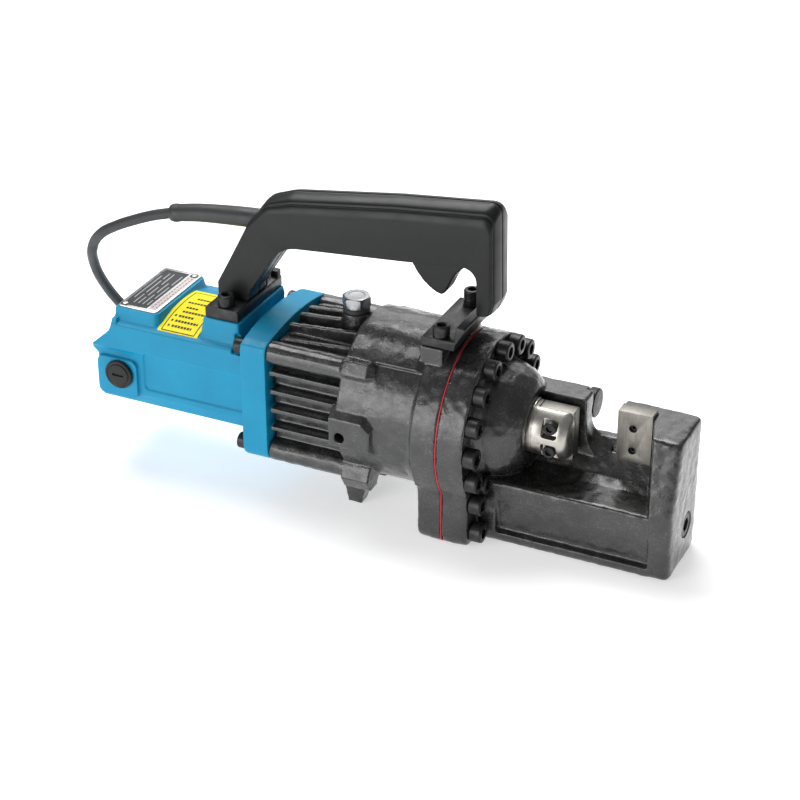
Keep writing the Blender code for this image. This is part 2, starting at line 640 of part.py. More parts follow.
def return_spring(frame):
    """A round-wire coil between the piston and the head."""
    turns, per_turn, wire, radius = 6, 14, 2.1, 28.5
    start, end = -40 + GAP + wire, 17 - GAP - wire
    rings = []
    for i in range(turns * per_turn + 1):
        share = i / (turns * per_turn)
        turn = 2 * math.pi * i / per_turn
        out = Vector((0, math.cos(turn), math.sin(turn)))
        centre = out * radius + Vector((start + (end - start) * share, 0, BORE_Z))
        ring = []
        for a, b in arc((0, 0), wire, 0, 360, 6)[:-1]:
            ring.append(centre + out * a + Vector((b, 0, 0)))
        rings.append(ring)
    add("return_spring", layers(rings), "bright_steel", frame)


# ---------------------------------------------------------------- fasteners
def cap_screw(name, finish, parent, place, axis, head, shank, length):
    """A socket head screw: the head stands on the place, the shank runs the other way."""
    radius, height = head
    profile = [(-length, 0), (-length, shank), (0, shank), (0, radius), (height - 0.7, radius),
               (height, radius - 0.7), (height, 0)]
    flip = -1 if axis == "-X" else 1
    letter = axis[-1]
    bm = turned([(flip * s, r) for s, r in profile], place, letter, 12)
    middle = [place[i] for i in range(3) if i != "XYZ".index(letter)]
    hexagon = [(middle[0] + a, middle[1] + b) for a, b in arc((0, 0), radius * 0.55, 0, 300, 5)]
    base = place["XYZ".index(letter)]
    span = sorted_pair(base + flip * height * 0.45, base + flip * (height + 3))
    return add(name, carve(bm, prism(hexagon, letter, *span)), finish, parent, place)


def fasteners(frame):
    for i, (y, z) in enumerate(head_bolt_places()):
        cap_screw("head_bolt_%02d" % (i + 1), "black_steel", frame, (FLANGE_T + 1.3, y, z), "X",
                  (7.9, 9.2), 5, 36)
    for y, side in ((-CORNER_BOLT_Y, "left"), (CORNER_BOLT_Y, "right")):
        for z, level in ((-CORNER_BOLT_Z, "lower"), (CORNER_BOLT_Z, "upper")):
            cap_screw("housing_bolt_%s_%s" % (side, level), "black_steel", frame,
                      (PLATE_REAR - GAP, y, z), "-X", (6.4, 8), 4, 45)
    for side, word in ((-1, "left"), (1, "right")):
        cap_screw("front_bracket_bolt_" + word, "black_steel", frame, (-13, side * 28.5, 78.8), "Z",
                  (6.4, 8.6), 4, 16)
        cap_screw("rear_bracket_bolt_" + word, "black_steel", frame, (-194, side * 28, 65.3), "Z",
                  (6.4, 8.6), 2.1, 17)


# ---------------------------------------------------------------- handle
def brackets(frame):
    rear = rounded([(-207.8, 55.9, 1), (-179.8, 55.9, 1), (-179.8, 65, 1.5), (-207.8, 65, 1.5)], 2)
    body = prism(rear, "Y", -36.3, 36.3)
    holes = [rod(4.4, 50, 70, (-194, s * 28, 0), "Z", 12) for s in (-1, 1)]
    add("rear_bracket", carve(body, merged(holes)), "black_steel", frame)
    front = rounded([(-26.5, 71, 1), (0.3, 71, 0), (1, 76, 0), (8.6, 88.5, 0), (8.6, 90.6, 0.8), (1.3, 91, 0.8),
                     (0.9, 78.5, 1), (-26.5, 78.5, 1.5)], 2)
    body = prism(front, "Y", -35.5, 35.5)
    holes = [rod(4.4, 60, 90, (-13, s * 28.5, 0), "Z", 12) for s in (-1, 1)]
    add("front_bracket", carve(body, merged(holes)), "black_steel", frame)


def handle_outline(drop):
    """Handle section in (X, Z). drop is 0 on the crown of the seam and 1 on the flat side face."""
    def mix(seam, side):
        return tuple(a + (b - a) * drop for a, b in zip(seam, side))
    outer = [((-207.4, 65.3), (-207, 65.3), 0), ((-207.6, 77), (-207.2, 77), 5),
             ((-183, 129), (-179.5, 127), 14), ((-166, 149.8), (-164.5, 143.5), 14),
             ((-147, 156.6), (-141, 148), 40), ((-60, 169.8), (-56, 159.3), 200),
             ((21.2, 179.6), (18.2, 164.8), 8), ((23.3, 104), (18.8, 101), 3), ((19, 93), (18, 95), 2)]
    inner = [((9.2, 91.8), (9.5, 93), 1), ((9.2, 131.0), (8.6, 131.6), 11),
             ((-50, 125.2), (-50, 125.6), 120), ((-151.5, 116.2), (-151.5, 116.8), 28),
             ((-180.3, 72), (-180.8, 72), 10), ((-180.3, 65.3), (-180.8, 65.3), 0)]
    corners = [(*mix(seam, side), radius) for seam, side, radius in outer + inner]
    return rounded(corners, 3)


def handle(frame):
    pocket = [(-144, 125.7), (-3, 135.2), (1.5, 140.5), (1.5, 157.3), (-144, 139.8)]
    for side, word in ((-1, "left"), (1, "right")):
        rings = []
        for y, drop in ((SEAM, 0), (7.5, 0.25), (12.5, 0.55), (15.6, 0.88), (HANDLE_HALF, 1)):
            rings.append([(x, side * y, z) for x, z in handle_outline(drop)])
        body = layers(rings)
        inside = prism(pocket, "Y", *sorted_pair(-side * 3, side * 12.6))
        slot = block((-49.7, -3.6), sorted_pair(-side * 3.3, side * 8.6), (108, 137.2))
        gland = rod(7.6, -200, -150, (0, 0, 128.8), steps=16)
        body = carve(body, inside, slot, gland)
        add("handle_" + word, body, "black_plastic", frame)
    switch = block((-84, -14), (-9, 9), (137.5, 146))
    add("switch_body", switch, "black_plastic", frame)


def trigger(slide):
    blade = [(-47.5, 131.5), (-47.5, 124), (-45.1, 119.5), (-42, 114.6), (-37.4, 109.2), (-32.1, 104.7),
             (-27, 101.6), (-23, 100.4), (-20.6, 101.4), (-18.4, 104.4), (-16.4, 109), (-14.2, 114),
             (-11.4, 118.8), (-8, 122.6), (-5, 125.2), (-5, 131.5)]
    body = prism(blade, "Y", -8, 8)
    add("trigger", body, "black_plastic", slide, (-26, 0, 131.5))


# ---------------------------------------------------------------- mains lead
def smooth_route(points, step):
    """Points about one step apart on a smooth curve through the route's own points."""
    ends = [points[0] * 2 - points[1]] + points + [points[-1] * 2 - points[-2]]
    made = []
    for p0, p1, p2, p3 in zip(ends, ends[1:], ends[2:], ends[3:]):
        count = max(1, round((p2 - p1).length / step))
        for i in range(count):
            t = i / count
            made.append(0.5 * (2 * p1 + (p2 - p0) * t + (2 * p0 - 5 * p1 + 4 * p2 - p3) * t ** 2
                               + (3 * p1 - p0 - 3 * p2 + p3) * t ** 3))
    return made + [points[-1]]


def tube(name, points, radius, finish, parent):
    curve = bpy.data.curves.new(name, "CURVE")
    curve.dimensions = "3D"
    curve.bevel_depth = radius * MM
    curve.bevel_resolution = 2
    curve.use_fill_caps = True
    spline = curve.splines.new("POLY")
    spline.points.add(len(points) - 1)
    for point, place in zip(spline.points, points):
        point.co = (*(place * MM), 1)
    made = bpy.data.objects.new(name, curve)
    made.parent = parent
    curve.materials.append(own_material(name, finish))
    bpy.context.scene.collection.objects.link(made)
    return made


SLEEVE_ROUTE = [(-168, 0, 129.2), (-187, 0, 128.3), (-209, 0, 126.4), (-232, 0, 123.6),
                (-254.4, 0, 119.2)]
CORD_ROUTE = [(-255.4, 0, 118.9), (-272, 0, 113.7), (-290, 0, 106.3), (-307, 0.3, 98),
              (-323, 2, 87.5), (-336, 8, 71), (-343, 19, 49), (-343, 34, 22), (-337, 51, -5),
              (-325, 67, -31), (-307, 81.5, -54), (-284, 93, -70.5), (-259, 102, -79),
              (-236, 108.5, -80.7), (-218, 112, -80.7), (-201.6, 112.7, -80.7)]
COIL_CENTRE = (-170.0, 168.0)


def sleeve(frame):
    """The bend guard: a thick root in the handle and a long taper to the cord."""
    rings = []
    route = smooth_route([Vector(p) for p in SLEEVE_ROUTE], 11)
    for i, place in enumerate(route):
        share = i / (len(route) - 1)
        ahead = (route[min(i + 1, len(route) - 1)] - route[max(i - 1, 0)]).normalized()
        side = Vector((0, 1, 0))
        up = ahead.cross(side)
        radius = 7 - 1.1 * share
        rings.append([place + side * a + up * b for a, b in arc((0, 0), radius, 0, 360, 14)[:-1]])
    add("strain_relief", layers(rings), "rubber", frame)


def cord(frame):
    route = smooth_route([Vector(p) for p in CORD_ROUTE], 20)
    tube("cord", route, CORD_D / 2, "rubber", frame)
    low = GROUND + 0.01
    inner, outer = COIL_R - CORD_D, COIL_R + CORD_D
    top = GROUND + 2 * CORD_D + 0.2
    ring = turned([(low, inner), (low, outer), (top, outer), (top, inner)],
                  (COIL_CENTRE[0], COIL_CENTRE[1], 0), "Z", 32)
    add("cord_coil", ring, "rubber", frame)


def plug(frame):
    """A two-pin plug lying beside the coil, where the lead's last turn leaves it."""
    axis_z = GROUND + 12.6
    start = COIL_CENTRE[0] + 58
    y = COIL_CENTRE[1] - COIL_R - CORD_D / 2
    body = turned([(start, 0), (start, 5.2), (start + 18, 6.8), (start + 19, 0)], (0, y, axis_z), steps=16)
    grip = rounded([(-15, -12.4, 6), (15, -12.4, 6), (15, 12.4, 6), (-15, 12.4, 6)])
    wide = [[(start + x, y + a * s, axis_z + b * t) for a, b in grip]
            for x, s, t in ((14, 0.5, 0.7), (26, 0.85, 1), (48, 1, 1), (50, 0.94, 0.94))]
    body = fuse(body, layers(wide))
    for side in (-1, 1):
        body = fuse(body, block((start + 44, start + 67), sorted_pair(y + side * 5.4, y + side * 7.0),
                                (axis_z - 3.1, axis_z + 3.1)))
    add("plug", body, "rubber", frame)


# ---------------------------------------------------------------- assembly
def main():
    clear_scene()
    frame = frame_empty("machine_frame", (GASKET_X, 0, FLANGE_HEIGHT))
    motor_spin = frame_empty("motor_axis", (0, 0, 0), frame)
    gear_spin = frame_empty("gear_axis", (0, 0, 0), frame)
    ram_slide = frame_empty("ram_axis", (0, 0, 0), frame)
    stopper_slide = frame_empty("stopper_axis", (0, 0, 0), frame)
    trigger_slide = frame_empty("trigger_axis", (0, 0, 0), frame)

    motor_housing(frame)
    bearing_plate(frame)
    brush_gear(frame)
    motor_inside(frame, motor_spin)
    pump_drive(frame, gear_spin)
    nameplate(frame)
    cylinder_body(frame)
    filler_bolt(frame)
    head_gasket(frame)
    cutter_head(frame)
    ram(ram_slide)
    fixed_blade(frame)
    stopper_bolt(stopper_slide)
    jaw_plug(frame)
    return_spring(frame)
    fasteners(frame)
    brackets(frame)
    handle(frame)
    trigger(trigger_slide)
    sleeve(frame)
    cord(frame)
    plug(frame)


main()
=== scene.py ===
"""Looks of a portable electro-hydraulic bar cutter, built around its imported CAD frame.

Shapes are made in millimetres in the machine's own frame, which is the CAD's: X runs from the motor
to the jaw, Y across and Z up, with the origin at the flange centre in the gasket plane.
"""

import math

import bmesh
import bpy
from mathutils import Matrix, Vector, noise


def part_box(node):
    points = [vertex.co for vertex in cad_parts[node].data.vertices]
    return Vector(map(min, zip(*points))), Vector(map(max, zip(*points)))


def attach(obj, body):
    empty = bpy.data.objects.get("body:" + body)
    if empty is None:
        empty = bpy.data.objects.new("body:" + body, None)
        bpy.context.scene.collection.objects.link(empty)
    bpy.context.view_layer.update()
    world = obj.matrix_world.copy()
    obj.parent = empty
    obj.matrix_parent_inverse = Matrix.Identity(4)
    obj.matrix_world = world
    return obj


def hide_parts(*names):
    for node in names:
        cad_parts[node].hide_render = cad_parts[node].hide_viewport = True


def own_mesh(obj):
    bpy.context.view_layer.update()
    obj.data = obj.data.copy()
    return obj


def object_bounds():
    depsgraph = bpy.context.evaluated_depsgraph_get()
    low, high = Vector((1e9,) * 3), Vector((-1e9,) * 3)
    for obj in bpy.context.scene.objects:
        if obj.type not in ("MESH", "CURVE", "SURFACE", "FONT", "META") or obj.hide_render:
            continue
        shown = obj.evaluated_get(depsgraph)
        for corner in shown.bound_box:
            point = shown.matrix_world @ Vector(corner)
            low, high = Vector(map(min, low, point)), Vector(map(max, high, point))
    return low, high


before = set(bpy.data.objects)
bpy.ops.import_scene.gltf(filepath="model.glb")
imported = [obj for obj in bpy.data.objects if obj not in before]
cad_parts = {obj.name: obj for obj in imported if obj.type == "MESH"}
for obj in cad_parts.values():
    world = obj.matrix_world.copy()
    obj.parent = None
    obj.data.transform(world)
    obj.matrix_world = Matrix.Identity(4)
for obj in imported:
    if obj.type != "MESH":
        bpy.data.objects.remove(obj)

cad_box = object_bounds()

# ---- shared dimensions
MM = 0.001
FLANGE_HEIGHT = 85.0
GROUND = -FLANGE_HEIGHT
gasket_low, gasket_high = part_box("head_gasket")
ORIGIN = Vector(((gasket_low.x + gasket_high.x) / 2, 0, cad_box[0].z + FLANGE_HEIGHT * MM))
TO_WORLD = Matrix.Translation(ORIGIN) @ Matrix.Scale(MM, 4)
TO_MACHINE = TO_WORLD.inverted()

BORE_Z = 4.5
RAM_AXIS = (0, 0, BORE_Z)
MOTOR_Z = -3.0
FLANGE_R, FLANGE_SIDE = 68.0, 55.6
FLANGE_CORNER = 9
FLANGE_END = 22.4            # how far the flanges reach from the gasket, their relief included
BOLT_CIRCLE_R, BOLT_STEP = 60.2, 22.5
CYLINDER_R = 63.2
DRAIN = (-79, 0, -4.5)
FILLER_X = -96
BRUSH_X = -279.5
PLATE_TOP = 49.5
ROD_R = 21.5
RAM_ROOM = ROD_R + 0.9       # what the ram sweeps through the head
STROKE = 32.0
SHEAR_Y = 6.0                # plane in which the blades pass each other
RAM_SCREW_X, RAM_SCREWS_Z = 70.7, (14.2, -5.8)
JAW_SCREW_X, JAW_SCREWS_Z = 127, (15, -3.7)
JAW_PLUG_Y, JAW_PLUG_Z = 4.5, -55
JAW_TIP = 173.5
STOPPER_Y, STOPPER_Z = 36.5, 12.5
FRONT_FOOT_X, FRONT_FOOT_Y = -13, 28.5
HANDLE_HALF = 16.5
SEAM = 0.15
CORD_D = 8.5
COIL_R = 51.0
COIL_CENTRE = (-170.0, 168.0)
PLUG_START = -112.0          # where the last of the cord goes into the plug
CAST_FACES = 160000
RUB_ROUNDS = 60
PAINT_RELIEF = (0.05, 12)    # depth and size of the unevenness under the paint
SIDES = ((-1, "left"), (1, "right"))


# ---- outlines
def arc(centre, radius, start, end, steps):
    """Points on a circle from one angle to another, both in degrees."""
    points = []
    for i in range(steps + 1):
        angle = math.radians(start + (end - start) * i / steps)
        points.append((centre[0] + radius * math.cos(angle), centre[1] + radius * math.sin(angle)))
    return points


def rounded(corners, steps=6):
    """A closed outline from (a, b, radius) corners, each one turned into an arc."""
    outline = []
    count = len(corners)
    for i, (a, b, radius) in enumerate(corners):
        here = Vector((a, b))
        if radius <= 0:
            outline.append((a, b))
            continue
        back = (Vector(corners[i - 1][:2]) - here).normalized()
        ahead = (Vector(corners[(i + 1) % count][:2]) - here).normalized()
        half = back.angle(ahead) / 2
        reach = radius / math.tan(half)
        centre = here + (back + ahead).normalized() * (radius / math.sin(half))
        first = here + back * reach - centre
        turn = first.angle_signed(here + ahead * reach - centre)
        for k in range(steps + 1):
            outline.append(tuple(centre + Matrix.Rotation(-turn * k / steps, 2) @ first))
    return outline


def hexagon(radius, centre=(0, 0), turn=0):
    return arc(centre, radius, turn, turn + 300, 5)


def box_outline(a_lo, a_hi, b_lo, b_hi, radius=0.0, steps=6):
    corners = [(a_lo, b_lo), (a_hi, b_lo), (a_hi, b_hi), (a_lo, b_hi)]
    return rounded([(a, b, radius) for a, b in corners], steps)


def keyhole(grow):
    """The head flange: a disc above a straight block that reaches the ground."""
    meet = math.degrees(math.acos(FLANGE_SIDE / FLANGE_R))
    top = arc((0, 0), FLANGE_R + grow, -meet, 180 + meet, 120)
    side, low = FLANGE_SIDE - FLANGE_CORNER, GROUND + FLANGE_CORNER
    left = arc((-side, low), FLANGE_CORNER + grow, 180, 270, 8)
    right = arc((side, low), FLANGE_CORNER + grow, 270, 360, 8)
    return top + left + right


def between(side, a, b):
    """The low and high end of a span, on one side of the middle plane or the other."""
    return (a, b) if side > 0 else (-b, -a)


# ---- solids
def closed(bm):
    bmesh.ops.recalc_face_normals(bm, faces=bm.faces)
    return bm


def bridge(bm, first, second):
    count = len(first)
    for i in range(count):
        j = (i + 1) % count
        quad = []
        for vert in (first[i], first[j], second[j], second[i]):
            if vert not in quad:
                quad.append(vert)
        bm.faces.new(quad)


def layers(rings):
    """A closed solid through rings of points that all have the same count."""
    bm = bmesh.new()
    made = [[bm.verts.new(point) for point in ring] for ring in rings]
    for first, second in zip(made, made[1:]):
        bridge(bm, first, second)
    bm.faces.new(made[0])
    bm.faces.new(made[-1])
    return closed(bm)


def prism(outline, axis, lo, hi):
    """Extrude an outline along X, Y or Z. Its two numbers are the other axes, in order."""
    flat = "XYZ".index(axis)
    a, b = [i for i in range(3) if i != flat]
    rings = []
    for level in (lo, hi):
        ring = []
        for point in outline:
            place = Vector((0, 0, 0))
            place[flat], place[a], place[b] = level, point[0], point[1]
            ring.append(place)
        rings.append(ring)
    return layers(rings)


def block(x, y, z):
    """A box from three (low, high) pairs."""
    return prism(box_outline(y[0], y[1], z[0], z[1]), "X", x[0], x[1])


AXIS_TURN = {"X": Matrix(), "Y": Matrix.Rotation(math.pi / 2, 4, "Z"),
             "Z": Matrix.Rotation(-math.pi / 2, 4, "Y")}


def turned(profile, centre=(0, 0, 0), axis="X", steps=96, sweep=(0, 360)):
    """Revolve (station, radius) points, all round or through a sweep of degrees."""
    bm = bmesh.new()
    whole = sweep[1] - sweep[0] >= 360
    rings = []
    for station, radius in profile:
        if radius == 0:
            rings.append([bm.verts.new((station, 0, 0))] * (steps if whole else steps + 1))
            continue
        points = arc((0, 0), radius, sweep[0], sweep[1], steps)
        rings.append([bm.verts.new((station, y, z)) for y, z in (points[:-1] if whole else points)])
    pairs = list(zip(rings, rings[1:]))
    if profile[0][1] > 0:
        pairs.append((rings[-1], rings[0]))
    for first, second in pairs:
        if whole:
            bridge(bm, first, second)
            continue
        for i in range(steps):
            bm.faces.new((first[i], first[i + 1], second[i + 1], second[i]))
    if not whole:
        bm.faces.new([ring[0] for ring in rings])
        bm.faces.new([ring[-1] for ring in rings])
    bm.transform(Matrix.Translation(centre) @ AXIS_TURN[axis])
    return closed(bm)


def rod(radius, lo, hi, centre=(0, 0, 0), axis="X", steps=48):
    return turned([(lo, 0), (lo, radius), (hi, radius), (hi, 0)], centre, axis, steps)


def mesh_from(bm, name="scratch"):
    mesh = bpy.data.meshes.new(name)
    bm.to_mesh(mesh)
    bm.free()
    return mesh


def placed(name, data):
    made = bpy.data.objects.new(name, data)
    bpy.context.scene.collection.objects.link(made)
    return made


def append(bm, *others):
    """Put more solids in one mesh, unjoined."""
    for other in others:
        mesh = mesh_from(other)
        bm.from_mesh(mesh)
        bpy.data.meshes.remove(mesh)
    return bm


def merged(parts):
    return append(bmesh.new(), *parts)


def scratch_object(bm):
    return placed("scratch", mesh_from(bm))


def result_of(*things):
    """The first object with its modifiers applied, as a bmesh. All of them are removed."""
    seen = things[0].evaluated_get(bpy.context.evaluated_depsgraph_get())
    result = bmesh.new()
    result.from_mesh(seen.to_mesh())
    seen.to_mesh_clear()
    for thing in things:
        mesh = thing.data
        bpy.data.objects.remove(thing)
        bpy.data.meshes.remove(mesh)
    return result


def combine(body, operation, tool):
    target, cutter = scratch_object(body), scratch_object(tool)
    step = target.modifiers.new("step", "BOOLEAN")
    step.operation = operation
    step.object = cutter
    result = result_of(target, cutter)
    bmesh.ops.remove_doubles(result, verts=result.verts, dist=0.002)
    return result


def fuse(body, *tools):
    for tool in tools:
        body = combine(body, "UNION", tool)
    return body


def carve(body, *tools):
    for tool in tools:
        body = combine(body, "DIFFERENCE", tool)
    return body


def bevelled(bm, width, angle=35, segments=2):
    """Rounds the edges where faces meet at more than an angle."""
    thing = scratch_object(bm)
    step = thing.modifiers.new("bevel", "BEVEL")
    step.width = width
    step.segments = segments
    step.limit_method = "ANGLE"
    step.angle_limit = math.radians(angle)
    step.use_clamp_overlap = True
    return result_of(thing)


def from_node(name, planar=False):
    """A CAD node's mesh in millimetres, welded."""
    bm = bmesh.new()
    bm.from_mesh(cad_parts[name].data)
    bm.transform(TO_MACHINE)
    bmesh.ops.remove_doubles(bm, verts=bm.verts, dist=0.004)
    if planar:
        bmesh.ops.dissolve_limit(bm, angle_limit=math.radians(1), verts=bm.verts, edges=bm.edges)
    return bm


def skinned(bm, voxel, rounds, faces, relief=0.0, relief_size=7.0, rubbed=None):
    """One skin over overlapping solids, with cast fillets and a slightly uneven surface.

    voxel and relief are in millimetres, rounds are of smoothing, and faces is the most it keeps.
    rubbed says, from a place, whether its edges are rounded further.
    """
    thing = scratch_object(bm)
    step = thing.modifiers.new("skin", "REMESH")
    step.mode = "VOXEL"
    step.voxel_size = voxel
    step.adaptivity = 0
    soft = thing.modifiers.new("soft", "SMOOTH")
    soft.factor = 0.5
    soft.iterations = rounds
    bm = result_of(thing)
    if rubbed:
        edges = [v for v in bm.verts if rubbed(v.co)]
        for _ in range(RUB_ROUNDS):
            bmesh.ops.smooth_vert(bm, verts=edges, factor=0.5,
                                  use_axis_x=True, use_axis_y=True, use_axis_z=True)
    if relief:
        bm.normal_update()
        moves = [v.normal * relief * noise.noise(v.co / relief_size) for v in bm.verts]
        for vert, move in zip(bm.verts, moves):
            vert.co += move
    count = len(bm.faces) * 2
    if count > faces:
        thing = scratch_object(bm)
        thin = thing.modifiers.new("thin", "DECIMATE")
        thin.ratio = faces / count
        bm = result_of(thing)
    return bm


# ---- materials
class Look:
    """A node material with noise, mixing and bump built on the object's own coordinates."""

    def __init__(self, name, roughness=0.5, metallic=0.0, coat=0.0, specular=0.5):
        self.material = bpy.data.materials.new(name)
        self.material.use_nodes = True
        self.nodes = self.material.node_tree.nodes
        self.links = self.material.node_tree.links
        self.shader = self.nodes["Principled BSDF"]
        self.coordinates = self.nodes.new("ShaderNodeTexCoord").outputs["Object"]
        for key, number in (("Roughness", roughness), ("Metallic", metallic), ("Coat Weight", coat),
                            ("Coat Roughness", 0.25), ("Specular IOR Level", specular)):
            self.shader.inputs[key].default_value = number
        self.normal = None

    def node(self, kind, inputs, **settings):
        """A node with its settings made, then each input linked or given a constant."""
        made = self.nodes.new("ShaderNode" + kind)
        for key, value in settings.items():
            setattr(made, key, value)
        for key, value in inputs.items():
            if isinstance(value, bpy.types.NodeSocket):
                self.links.new(value, made.inputs[key])
            else:
                made.inputs[key].default_value = value
        return made

    def noise(self, size, detail, stretch=None):
        """Noise whose grains are about size millimetres, stretched along the axes."""
        vector = self.coordinates
        if stretch:
            vector = self.node("Mapping", {"Vector": vector, "Scale": stretch}).outputs["Vector"]
        inputs = {"Vector": vector, "Scale": 1000.0 / size, "Detail": detail}
        return self.node("TexNoise", inputs).outputs["Fac"]

    def pointiness(self):
        return self.node("NewGeometry", {}).outputs["Pointiness"]

    def spread(self, value, low, high, to_low=0.0, to_high=1.0):
        inputs = {"Value": value, "From Min": low, "From Max": high, "To Min": to_low,
                  "To Max": to_high}
        return self.node("MapRange", inputs).outputs["Result"]

    def times(self, first, second):
        return self.node("Math", {0: first, 1: second}, operation="MULTIPLY").outputs["Value"]

    def mix(self, share, first, second):
        first, second = [(*end, 1) if isinstance(end, tuple) else end for end in (first, second)]
        return self.node("Mix", {0: share, 6: first, 7: second}, data_type="RGBA").outputs[2]

    def colour(self, value):
        self.links.new(value, self.shader.inputs["Base Color"])

    def roughness(self, value, to_low, to_high):
        gloss = self.spread(value, 0.3, 0.7, to_low, to_high)
        self.links.new(gloss, self.shader.inputs["Roughness"])

    def bump(self, height, depth):
        """Adds relief of about depth millimetres."""
        inputs = {"Height": height, "Distance": depth * MM}
        if self.normal:
            inputs["Normal"] = self.normal
        self.normal = self.node("Bump", inputs).outputs["Normal"]
        self.links.new(self.normal, self.shader.inputs["Normal"])


def cast_look(name, dark, light, speck, edge):
    """Black enamel over sand-cast iron: fine grain, soft waves, lighter specks that are painted
    glints, and brighter edges that are partly wear and partly painted highlight.
    """
    look = Look(name, coat=0.7)
    blotches = look.noise(16, 4)
    base = look.mix(look.spread(blotches, 0.35, 0.68), dark, light)
    # Lighter specks over the grain: painted glints of the glossy enamel.
    specks = look.spread(look.noise(1.5, 2), 0.56, 0.68)
    base = look.mix(look.times(specks, look.spread(blotches, 0.4, 0.6, 0.15, 0.75)), base, speck)
    # Brighter edges, found by pointiness: partly wear, partly a painted highlight.
    edges, patches = look.pointiness(), look.noise(5, 3)
    wear_and_highlight = look.times(look.spread(edges, 0.53, 0.6), look.spread(patches, 0.35, 0.65, 0.1, 0.8))
    look.colour(look.mix(wear_and_highlight, base, edge))
    look.roughness(look.noise(7, 4), 0.2, 0.46)
    look.bump(look.noise(9, 2), 0.75)
    look.bump(look.noise(3.4, 3), 0.3)
    look.bump(look.noise(1.5, 2), 0.2)
    return look.material


def paint_look(name, colour, deep, light):
    """Sprayed enamel: faint orange peel, edges lighter as partly thin paint and partly painted
    highlight, and painted shade darkening the corners.
    """
    look = Look(name, specular=0.28)
    base = look.mix(look.spread(look.noise(30, 3), 0.3, 0.7, 0, 0.5), colour, deep)
    edges, patches = look.pointiness(), look.noise(6, 3)
    # Lighter blue on the edges: partly thin paint, partly a painted highlight.
    wear_and_highlight = look.times(look.spread(edges, 0.53, 0.62), look.spread(patches, 0.3, 0.7, 0.2, 0.7))
    base = look.mix(wear_and_highlight, base, light)
    # Darker blue in concave corners: painted shade.
    crease_shade = look.spread(look.pointiness(), 0.47, 0.4, 0, 0.55)
    look.colour(look.mix(crease_shade, base, deep))
    look.roughness(look.noise(12, 4), 0.36, 0.5)
    look.bump(look.noise(14, 2), 0.25)
    look.bump(look.noise(1.8, 2), 0.022)
    return look.material


def moulded_look(name, colour, light, grain=0.03, size=0.7, gloss=(0.4, 0.52), specular=0.5):
    """Spark-eroded plastic or rubber: fine grain, slightly polished in patches."""
    look = Look(name, specular=specular)
    base = look.mix(look.spread(look.noise(25, 4), 0.3, 0.7, 0, 0.6), colour, light)
    dust = look.spread(look.noise(0.9, 2), 0.62, 0.75, 0, 0.25)
    look.colour(look.mix(dust, base, light))
    look.roughness(look.noise(18, 3), *gloss)
    look.bump(look.noise(size, 2), grain)
    return look.material


def steel_look(name, colour, dark, gloss, stretch=(1, 1, 1), scratch=0.02, metallic=1.0,
               stain=None):
    """Machined metal: scratches along the cut, oil stains and a few darker specks."""
    look = Look(name, metallic=metallic)
    lines = look.noise(0.9, 3, stretch)
    base = look.mix(look.spread(lines, 0.35, 0.7, 0, 0.7), colour, dark)
    base = look.mix(look.spread(look.noise(1.1, 3), 0.62, 0.72, 0, 0.5), base, dark)
    if stain:
        base = look.mix(look.spread(look.noise(9, 4), 0.48, 0.68, 0, 0.8), base, stain)
    look.colour(base)
    look.roughness(look.noise(5, 4), *gloss)
    look.bump(lines, scratch)
    return look.material


def lamination_look(name):
    """Stacked sheet: fine lines square to the X axis."""
    look = Look(name, metallic=0.8)
    inputs = {"Vector": look.coordinates, "Scale": 320, "Distortion": 0.4}
    wave = look.node("TexWave", inputs).outputs["Fac"]
    look.colour(look.mix(wave, (0.08, 0.08, 0.085), (0.22, 0.22, 0.23)))
    look.roughness(look.noise(4, 3), 0.4, 0.6)
    look.bump(wave, 0.1)
    return look.material


LOOKS = {
    # Blue paint: the third blue is the painted edge highlight, and the second also paints shade
    # into the corners.
    "blue_paint": paint_look(
        "blue_enamel", (0.005, 0.295, 0.5), (0.004, 0.21, 0.4), (0.16, 0.54, 0.76)),
    # Cast enamel: the third colour paints glints into the specks, and the fourth paints the edges
    # partly as wear and partly as a highlight.
    "black_casting": cast_look(
        "cast_enamel", (0.008, 0.0084, 0.0082), (0.027, 0.028, 0.027), (0.085, 0.085, 0.08),
        (0.32, 0.32, 0.31)),
    "black_steel": steel_look(
        "black_oxide", (0.022, 0.022, 0.024), (0.008, 0.008, 0.009), (0.28, 0.45),
        scratch=0.012, metallic=0.35, stain=(0.045, 0.044, 0.042)),
    "black_plastic": moulded_look(
        "moulded_nylon", (0.008, 0.0088, 0.0086), (0.014, 0.0152, 0.0149),
        gloss=(0.3, 0.42), specular=0.3),
    "rubber": moulded_look(
        "rubber_skin", (0.026, 0.028, 0.029), (0.042, 0.044, 0.045), 0.02, 0.9, (0.42, 0.6)),
    "bright_steel": steel_look(
        "polished_steel", (0.62, 0.6, 0.56), (0.45, 0.43, 0.4), (0.27, 0.42), (1, 0.25, 0.25),
        scratch=0.0025, stain=(0.5, 0.46, 0.4)),
    "blade_steel": steel_look(
        "ground_steel", (0.3, 0.285, 0.26), (0.2, 0.19, 0.17), (0.4, 0.54), (1, 1, 0.08),
        scratch=0.006, stain=(0.25, 0.235, 0.205)),
    "zinc": steel_look(
        "zinc_plate", (0.42, 0.43, 0.44), (0.26, 0.27, 0.28), (0.34, 0.48), scratch=0.004),
    "aluminium": steel_look(
        "rolled_aluminium", (0.72, 0.72, 0.72), (0.55, 0.55, 0.55), (0.3, 0.42), (0.06, 1, 1),
        scratch=0.008),
    "copper": steel_look(
        "copper_bars", (0.72, 0.33, 0.18), (0.4, 0.17, 0.09), (0.25, 0.4), (0.1, 1, 1)),
    "carbon": moulded_look(
        "carbon_block", (0.02, 0.02, 0.021), (0.05, 0.05, 0.052), 0.04, 0.5, (0.55, 0.75)),
    "red_gasket": moulded_look(
        "gasket_fibre", (0.6, 0.022, 0.035), (0.68, 0.05, 0.06), 0.04, 0.8, (0.45, 0.6)),
    "lamination": lamination_look("steel_laminations"),
}


